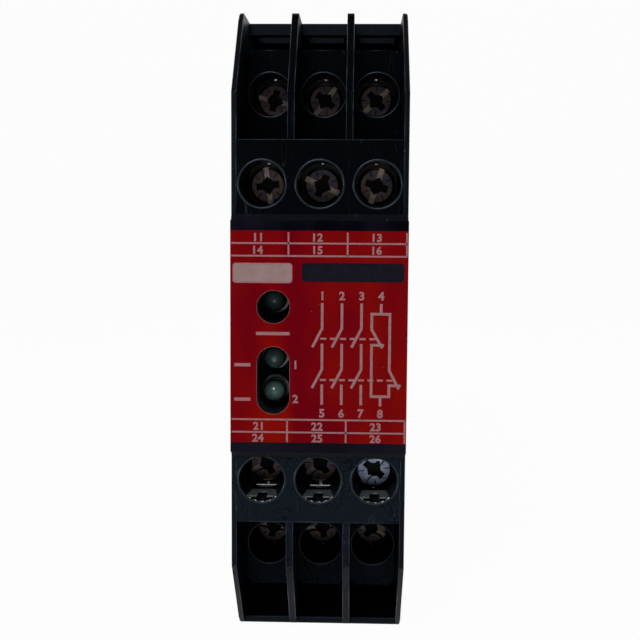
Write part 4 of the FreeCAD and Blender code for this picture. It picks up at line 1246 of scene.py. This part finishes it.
@dataclass
class Lamps:
    """Three small lamps behind the front."""

    bench: Bench
    width: float = 3.0
    rim_width: float = 3.8
    rim_thick: float = 1.0
    length: float = 5.3
    lead_pitch: float = 2.54
    lead_width: float = 0.5
    steps: int = 40

    def lens(self, node: str) -> bpy.types.Mesh:
        """Turn one lens: a round dome on a barrel with a rim at its foot.

        Args:
            node: the CAD node it stands for.

        Returns:
            The lens, in place.
        """
        low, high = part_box(node)
        middle = Vector(((low.x + high.x) / 2, low.y, (low.z + high.z) / 2))
        radius, rim, foot = self.width / 2, self.rim_width / 2, self.length - self.rim_thick
        profile = [(0.0, 0.0)]
        profile += [(radius * math.sin(math.radians(a)), radius * (1 - math.cos(math.radians(a))))
                    for a in range(8, 91, 8)]
        profile += [(radius, foot - 0.06), (radius + 0.06, foot), (rim - 0.05, foot), (rim, foot + 0.05),
                    (rim, self.length), (0.0, self.length)]
        work = bmesh.new()
        rings = []
        for across, down in profile:
            angles = [2 * math.pi * step / self.steps for step in range(self.steps if across else 1)]
            rings.append([work.verts.new(middle + Vector(
                (across * math.cos(angle), down, across * math.sin(angle))) * MM) for angle in angles])
        for first, second in zip(rings, rings[1:]):
            for step in range(self.steps):
                corners = [first[step % len(first)], first[(step + 1) % len(first)],
                           second[(step + 1) % len(second)], second[step % len(second)]]
                work.faces.new(list(dict.fromkeys(corners)))
        x, y, z = middle / MM
        half = self.lead_width / 2
        for lead in (-self.lead_pitch / 2, self.lead_pitch / 2):
            block(work, (x + lead - half, y + self.length - 0.05, z - half),
                  (x + lead + half, high.y / MM, z + half))
        return finished(work, node)

    def build(self) -> None:
        """Make the lamps."""
        nodes = ("lamp_power", "lamp_channel_one", "lamp_channel_two")
        for node in nodes:
            self.bench.piece(f"{node}_lens", self.lens(node), Slot.RESIN, self.bench.palette.resin,
                             stands_for=[node], smooth=35.0)
        log.info("lamps: %d lenses", len(nodes))


@dataclass(frozen=True)
class Line:
    """A printed line through points in millimetres, X across and Z up."""

    points: tuple[Point, ...]
    width: float = 0.34


@dataclass(frozen=True)
class Figure:
    """A printed number, centred on a place in millimetres."""

    text: str
    across: float
    up: float
    height: float = 1.06


@dataclass
class Front:
    """The bezel, its glossy film and what is printed on it."""

    bench: Bench
    film_back: float = 0.04
    ink_back: float = 0.015
    table_columns: tuple[float, float, float] = (-7.75, -0.16, 7.32)
    pole_columns: tuple[float, float, float] = (0.43, 2.94, 5.43)
    dash_start: float = 0.2
    opening: float = 4.2
    opening_across: float = -5.8
    openings: tuple[Point, ...] = ((3.5, 3.5), (-3.7, -8.2))
    thin: float = 0.22
    table_reach: float = 11.15
    table_edge: float = 11.08
    word_width: float = 0.42
    dash_part: float = 0.62
    dash_width: float = 0.26
    word_bars: tuple[tuple[float, float, float], ...] = (
        (-8.0, -3.7, 0.1), (-10.8, -8.7, -3.95), (-10.8, -8.7, -8.4))

    def lines(self) -> list[Line]:
        """Lay out the tables and the contact diagram.

        Returns:
            The printed lines.
        """
        made = []
        for rows, columns, ends in (((11.6, 10.0), (-3.9, 3.6), (13.0, 10.0)),
                                    ((-11.0, -12.65), (-4.0, 3.55), (-11.0, -13.95))):
            made += [Line(((-self.table_reach, up), (self.table_reach, up)), self.thin) for up in rows]
            made += [Line(((x, ends[0]), (x, ends[1])), self.thin) for x in (*columns, self.table_edge)]
        for x in self.pole_columns:
            made.append(Line(((x, 4.05), (x, 0.82), (x - 1.24, -1.6))))
            made.append(Line(((x, -1.14), (x, -4.45), (x - 1.26, -6.86))))
            made.append(Line(((x, -6.38), (x, -9.02))))
        made += [
            Line(((7.92, 4.0), (7.92, 2.7))),
            Line(((8.1, -1.65), (6.74, 0.71), (6.74, 2.7), (9.03, 2.7), (9.03, -4.55), (10.26, -6.9))),
            Line(((8.3, -1.27), (6.74, -1.27), (6.74, -7.88), (9.0, -7.88), (9.0, -6.45), (10.5, -6.45))),
            Line(((7.9, -7.88), (7.9, -9.13))),
        ]
        made += [Line(((start, up), (end, up)), self.word_width) for start, end, up in self.word_bars]
        return made

    def dashes(self) -> list[Line]:
        """Lay out the dashed links between the poles."""
        made = []
        for up, end, count in ((-0.5, 7.7, 6), (-5.8, 9.9, 8)):
            pitch = (end - self.dash_start) / count
            for number in range(count):
                start, stop = (self.dash_start + pitch * (number + part) for part in (0.0, self.dash_part))
                made.append(Line(((start, up), (stop, up)), self.dash_width))
        return made

    def opening_rims(self, level: float) -> bpy.types.Mesh:
        """Trace the pale cut edges of the two lamp openings.

        Args:
            level: the Y of the film's face in metres.

        Returns:
            The rims, in place.
        """
        work = bmesh.new()
        radius = self.opening / 2 + 0.02
        for top, bottom in self.openings:
            ring = (arc(self.opening_across, top, radius, range(0, 180, 6))
                    + arc(self.opening_across, bottom, radius, range(180, 360, 6)))
            trace(work, [(x, level / MM, z) for x, z in (*ring, ring[0])], 0.02)
        return finished(work, "opening_rims")

    def figures(self) -> list[Figure]:
        """Lay out the plain numbers.

        Returns:
            The printed numbers.
        """
        made = []
        for rows, first in (((12.36, 10.75), 11), ((-11.86, -13.4), 21)):
            for row, up in enumerate(rows):
                made += [Figure(str(first + 3 * row + column), x, up)
                         for column, x in enumerate(self.table_columns)]
        for up, first in ((4.98, 1), (-10.12, 5)):
            made += [Figure(str(first + column), x, up, 1.12)
                     for column, x in enumerate((0.45, 2.94, 5.43, 7.9))]
        made += [Figure("1", -2.95, -3.9, 1.1), Figure("2", -2.95, -8.3, 1.1)]
        return made

    def strip(self, work: bmesh.types.BMesh, line: Line, level: float) -> None:
        """Lay a line down as a flat strip with mitred corners.

        Args:
            work: the mesh under way.
            line: the line.
            level: the Y of its face in metres.
        """
        points = [Vector(p) for p in line.points]
        half = line.width / 2
        sides: list[tuple[Vector, Vector]] = []
        for index, point in enumerate(points):
            before = (point - points[index - 1]).normalized() if index else None
            after = (points[index + 1] - point).normalized() if index < len(points) - 1 else None
            way = ((before or after) + (after or before)).normalized()
            normal = Vector((-way.y, way.x))
            along = before or after
            reach = half / max(0.35, abs(normal.dot(Vector((-along.y, along.x)))))
            sides.append((point + normal * reach, point - normal * reach))
        corners = [[work.verts.new((p.x * MM, level, p.y * MM)) for p in pair] for pair in sides]
        for first, second in zip(corners, corners[1:]):
            self.sheet(work, (first[0], second[0], second[1], first[1]))

    @staticmethod
    def sheet(work: bmesh.types.BMesh, corners: Sequence[bmesh.types.BMVert]) -> None:
        """Add a flat face that looks to the front.

        Args:
            work: the mesh under way.
            corners: the face's corners in order.
        """
        face = work.faces.new(corners)
        face.normal_update()
        if face.normal.y > 0:
            face.normal_flip()

    def number(self, figure: Figure, level: float) -> bpy.types.Mesh:
        """Set one number in a plain bold face.

        Args:
            figure: the number.
            level: the Y of its face in metres.

        Returns:
            Its mesh, in place.
        """
        curve = bpy.data.curves.new("number", "FONT")
        curve.body = figure.text
        curve.align_x, curve.align_y = "CENTER", "CENTER"
        curve.offset = 0.034
        curve.space_character = 1.04
        curve.resolution_u = 4
        holder = bpy.data.objects.new("number", curve)
        bpy.context.scene.collection.objects.link(holder)
        graph = bpy.context.evaluated_depsgraph_get()
        made = bpy.data.meshes.new_from_object(holder.evaluated_get(graph), depsgraph=graph)
        bpy.data.objects.remove(holder)
        bpy.data.curves.remove(curve)
        tall = max(v.co.y for v in made.vertices) - min(v.co.y for v in made.vertices)
        size = figure.height * MM / tall
        middle = Vector([(max(v.co[i] for v in made.vertices) + min(v.co[i] for v in made.vertices)) / 2
                         for i in range(3)])
        place = (Matrix.Translation((figure.across * MM, level, figure.up * MM))
                 @ Matrix.Rotation(math.radians(90), 4, "X") @ Matrix.Diagonal((size * 1.04, size, 1.0, 1.0))
                 @ Matrix.Translation(-middle))
        made.transform(place)
        return made

    def pad(self, low: Point, high: Point, corner: float, level: float, name: str) -> bpy.types.Mesh:
        """Fill a rectangle with round corners.

        Args:
            low: its lower left corner in millimetres.
            high: its upper right corner.
            corner: the corners' radius.
            level: the Y of its face in metres.
            name: the mesh's name.

        Returns:
            Its mesh, in place.
        """
        work = bmesh.new()
        centres = [(high[0] - corner, high[1] - corner, 0), (low[0] + corner, high[1] - corner, 90),
                   (low[0] + corner, low[1] + corner, 180), (high[0] - corner, low[1] + corner, 270)]
        ring = [point for x, z, start in centres for point in arc(x, z, corner, range(start, start + 91, 15))]
        self.sheet(work, [work.verts.new((x * MM, level, z * MM)) for x, z in ring])
        return finished(work, name, False)

    def scatter_edge_flecks(self, level: float) -> bpy.types.Mesh:
        """Scatter small pale flecks along the film's cut ends.

        Args:
            level: the Y of the film's face in metres.

        Returns:
            The chips, in place.
        """
        parts = []
        for seed, up, count in ((3, 14.30, 70), (8, -15.02, 60)):
            plan = Plan(f"edge_flecks_{seed}", {
                "Length": 21.4 * MM, "Count": count, "Size": 0.085 * MM, "Seed": seed,
            }, self.bench.palette.edge_fleck_coat)
            line = plan.node("GeometryNodeMeshLine", {"mode": "END_POINTS"}, {
                "Count": plan.given("Count"), "Start Location": (0.0, 0.0, 0.0),
                "Offset": plan.along("X", plan.given("Length"))})
            keep = plan.node("FunctionNodeRandomValue", {"data_type": "BOOLEAN"}, {
                "Probability": 0.5, "Seed": plan.given("Seed")})
            moved = plan.node("GeometryNodeSetPosition", {}, {
                "Geometry": line.outputs[0],
                "Offset": plan.drawn((-0.2 * MM, 0.0, -0.05 * MM), (0.2 * MM, 0.0, 0.06 * MM))})
            flake = plan.node("GeometryNodeMeshIcoSphere", {}, {
                "Radius": plan.given("Size"), "Subdivisions": 1})
            placed = plan.node("GeometryNodeInstanceOnPoints", {}, {
                "Points": moved.outputs[0], "Selection": keep.outputs[3], "Instance": flake.outputs[0],
                "Rotation": plan.drawn((0.0, -0.4, 0.0), (0.0, 0.4, 0.0)),
                "Scale": plan.drawn((0.5, 0.25, 0.3), (3.2, 0.5, 1.2))})
            made = plan.mesh(placed.outputs[0])
            made.transform(Matrix.Translation((-10.7 * MM, level, up * MM)))
            parts.append(made)
        return joined(parts)

    def build(self) -> None:
        """Make the front."""
        bench, palette = self.bench, self.bench.palette
        bench.rounded("front_bezel", palette.bezel, Slot.PLASTIC, 0.14)
        film = bench.copied("front_label")
        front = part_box("front_label")[0].y
        for vert in film.verts:
            if vert.co.y < front + 0.01 * MM:
                vert.co.y = front + self.film_back * MM
        bench.piece("front_film", finished(film, "front_film"), Slot.PRINT, palette.film,
                    stands_for=["front_label"], smooth=30.0)
        level = front + self.ink_back * MM
        work = bmesh.new()
        for number, line in enumerate(self.lines()):
            self.strip(work, line, level + 0.0015 * MM * (number % 2))
        for line in self.dashes():
            self.strip(work, line, level - 0.003 * MM)
        lines = finished(work, "printed_lines", False)
        printed = joined([lines, *(self.number(figure, level) for figure in self.figures())])
        border = level + 0.006 * MM
        for name, made, finish in (
            ("printed_marks", printed, palette.ink),
            ("panel_border", self.pad((-11.0, 6.55), (-3.4, 9.1), 0.42, border, "panel_border"), palette.ink),
            ("bare_panel", self.pad((-10.8, 6.75), (-3.6, 8.9), 0.3, level, "bare_panel"), palette.panel),
            ("dark_bar", self.pad((-2.2, 6.75), (10.8, 9.15), 0.5, level, "dark_bar"), palette.dark_ink),
            ("opening_rims", self.opening_rims(level + 0.035 * MM), palette.ink),
            ("edge_flecks", self.scatter_edge_flecks(level + 0.075 * MM), palette.edge_fleck_coat),
        ):
            bench.piece(name, made, Slot.PRINT, finish)
        log.info("front: bezel, film and print")


@dataclass
class Back:
    """The rail latch and its spring."""

    bench: Bench
    wire: float = 0.5
    turns: float = 7.0
    travel: float = 4.0

    def spring(self) -> bpy.types.Mesh:
        """Wind the latch spring.

        Returns:
            The spring, in place.
        """
        low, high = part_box("latch_spring")
        span = (high.z - low.z) - self.wire * MM
        radius = (high.x - low.x) / 2 - self.wire / 2 * MM
        plan = Plan("latch_spring", {
            "Radius": radius, "Wire": self.wire / 2 * MM * 0.98, "Span": span, "Turns": self.turns,
        }, self.bench.palette.spring)
        made = plan.mesh(plan.swept(plan.helix(28, plan.given("Turns"), "Span"), plan.circle(10, "Wire")))
        middle = (low + high) / 2
        made.transform(Matrix.Translation((middle.x, middle.y, low.z + self.wire / 2 * MM)))
        return made

    def build(self) -> None:
        """Make the latch and the spring."""
        palette = self.bench.palette
        self.bench.rounded("rail_latch", palette.latch, Slot.LATCH, 0.16, Body.LATCH.value)
        spring = self.bench.piece("latch_spring_wound", self.spring(), Slot.SPRING, palette.spring,
                                  stands_for=["latch_spring"], smooth=50.0)
        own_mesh(spring)
        log.info("back: latch and spring")


@dataclass
class Inside:
    """The boards and what stands on them."""

    bench: Bench

    def build(self) -> None:
        """Dress the boards and components."""
        palette = self.bench.palette
        for node in ("terminal_board", "main_board"):
            self.bench.rounded(node, palette.board, Slot.BOARD, 0.08)
        for node in ("relay_one", "relay_two"):
            self.bench.rounded(node, palette.relay, Slot.RELAY, 0.4)
        for node in ("fuse", "control_chip", "rectifier"):
            self.bench.rounded(node, palette.component, Slot.COMPONENT, 0.2)
        self.bench.rounded("capacitor", palette.can, Slot.CAN, 0.5)
        self.bench.rounded("varistor", palette.varistor, Slot.VARISTOR, 0.8)
        log.info("inside: boards, relays and components")


@dataclass
class Studio:
    """Camera, lights, floor and backdrop."""

    place: tuple[float, float, float] = (0.00471, -0.25525, 0.01560)
    pitch: float = 0.096
    yaw: float = -0.032
    roll: float = -0.0063
    lens: float = 63.24
    floor: float = -0.042
    footprint: tuple[float, float, float] = (0.0112, -0.049, 0.052)
    glow: float = 0.96

    def camera(self) -> None:
        """Set the camera in front of the relay."""
        turn_z = Matrix(((math.cos(self.yaw), -math.sin(self.yaw), 0),
                         (math.sin(self.yaw), math.cos(self.yaw), 0), (0, 0, 1)))
        turn_x = Matrix(((1, 0, 0), (0, math.cos(self.pitch), -math.sin(self.pitch)),
                         (0, math.sin(self.pitch), math.cos(self.pitch))))
        turn_y = Matrix(((math.cos(self.roll), 0, -math.sin(self.roll)), (0, 1, 0),
                         (math.sin(self.roll), 0, math.cos(self.roll))))
        right, ahead, up = (turn_y @ turn_x @ turn_z)
        data = bpy.data.cameras.new("view")
        data.lens = self.lens
        data.sensor_width = 36.0
        data.clip_start = 0.01
        data.clip_end = 20.0
        made = bpy.data.objects.new("view", data)
        bpy.context.scene.collection.objects.link(made)
        turned = Matrix((right, up, -ahead)).transposed().to_4x4()
        made.matrix_world = Matrix.Translation(self.place) @ turned
        bpy.context.scene.camera = made

    def area(self, name: str, place: Sequence[float], size: tuple[float, float], watts: float,
             aim: Sequence[float] = (0.0, -0.08, 0.0)) -> None:
        """Hang a soft box.

        Args:
            name: its name.
            place: its middle.
            size: its width and height.
            watts: its power.
            aim: the point it faces.
        """
        data = bpy.data.lights.new(name, "AREA")
        data.shape = "RECTANGLE"
        data.size, data.size_y = size
        data.energy = watts
        made = bpy.data.objects.new(name, data)
        bpy.context.scene.collection.objects.link(made)
        way = Vector(aim) - Vector(place)
        made.matrix_world = Matrix.Translation(place) @ way.to_track_quat("-Z", "Y").to_matrix().to_4x4()
        made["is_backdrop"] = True

    def backdrop(self) -> None:
        """Lay the white floor with its sweep behind."""
        work = bmesh.new()
        across, front, back, rise, radius = 1.6, -1.4, 0.9, 1.6, 0.35
        profile = [(front, self.floor)]
        profile += [(back - radius + radius * math.sin(a), self.floor + radius * (1 - math.cos(a)))
                    for a in (math.radians(d) for d in range(0, 91, 6))]
        profile.append((back, self.floor + rise))
        rows = [[work.verts.new((x, y, z)) for x in (-across, across)] for y, z in profile]
        for first, second in zip(rows, rows[1:]):
            work.faces.new((first[0], first[1], second[1], second[0]))
        for face in work.faces:
            face.smooth = True
        mesh = finished(work, "floor", False)
        shade = Shade("white_sweep")
        path = shade.node("ShaderNodeLightPath")
        seen = (Value(shade, path.outputs["Is Camera Ray"]) + Value(shade, path.outputs["Is Glossy Ray"])
                + Value(shade, path.outputs["Is Transmission Ray"])).kept()
        paper = shade.node("ShaderNodeBsdfDiffuse", {}, {"Color": (0.82, 0.82, 0.82, 1.0)})
        glow = shade.node("ShaderNodeEmission", {}, {"Color": (1.0, 1.0, 1.0, 1.0), "Strength": 1.0})
        place = shade.node("ShaderNodeSeparateXYZ", {}, {0: shade.place})
        beside = (abs(Value(shade, place.outputs[0])) - self.footprint[0]).step(-0.001, 0.0005)
        beyond = abs(Value(shade, place.outputs[1]) - self.footprint[1]) - self.footprint[2]
        around = beyond.step(-0.001, 0.0005)
        open_floor = (beside + around).kept()
        both = shade.node("ShaderNodeMixShader", {}, {
            0: seen * open_floor * self.glow, 1: paper.outputs[0], 2: glow.outputs[0]})
        shade.node("ShaderNodeOutputMaterial", {}, {"Surface": both.outputs[0]})
        mesh.materials.append(shade.material)
        made = bpy.data.objects.new("floor", mesh)
        bpy.context.scene.collection.objects.link(made)
        made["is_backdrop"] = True

    def world(self) -> None:
        """Give the room a dim even light, white where the camera sees it."""
        world = bpy.data.worlds.new("room")
        world.use_nodes = True
        room = Graph(world.node_tree)
        glow = room.node("ShaderNodeBackground", {}, {"Color": (0.95, 0.97, 1.0, 1.0), "Strength": 0.22})
        white = room.node("ShaderNodeBackground", {}, {"Color": (1.0, 1.0, 1.0, 1.0), "Strength": self.glow})
        path = room.node("ShaderNodeLightPath")
        both = room.node("ShaderNodeMixShader", {}, {
            0: path.outputs["Is Camera Ray"], 1: glow.outputs[0], 2: white.outputs[0]})
        room.node("ShaderNodeOutputWorld", {}, {"Surface": both.outputs[0]})
        bpy.context.scene.world = world

    def build(self) -> None:
        """Set up the studio."""
        self.camera()
        self.backdrop()
        self.world()
        self.area("key_front", (-0.16, -0.60, 0.44), (0.40, 0.30), 3.3)
        self.area("low_left", (-0.46, -0.36, -0.005), (0.30, 0.06), 0.9)
        self.area("high_right", (0.6, -0.2, 0.5), (0.4, 0.4), 1.3)
        bpy.context.scene.view_settings.view_transform = "Standard"
        log.info("studio: camera, three soft boxes and a white sweep")


def main() -> None:
    """Build the relay's look piece by piece."""
    logging.basicConfig(level=logging.INFO, format="%(name)s: %(message)s")
    bench = Bench(Palette())
    for assembly in (Mouldings, Terminals, Lamps, Front, Back, Inside):
        assembly(bench).build()
    Studio().build()
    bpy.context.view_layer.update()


if __name__ == "__main__":
    main()
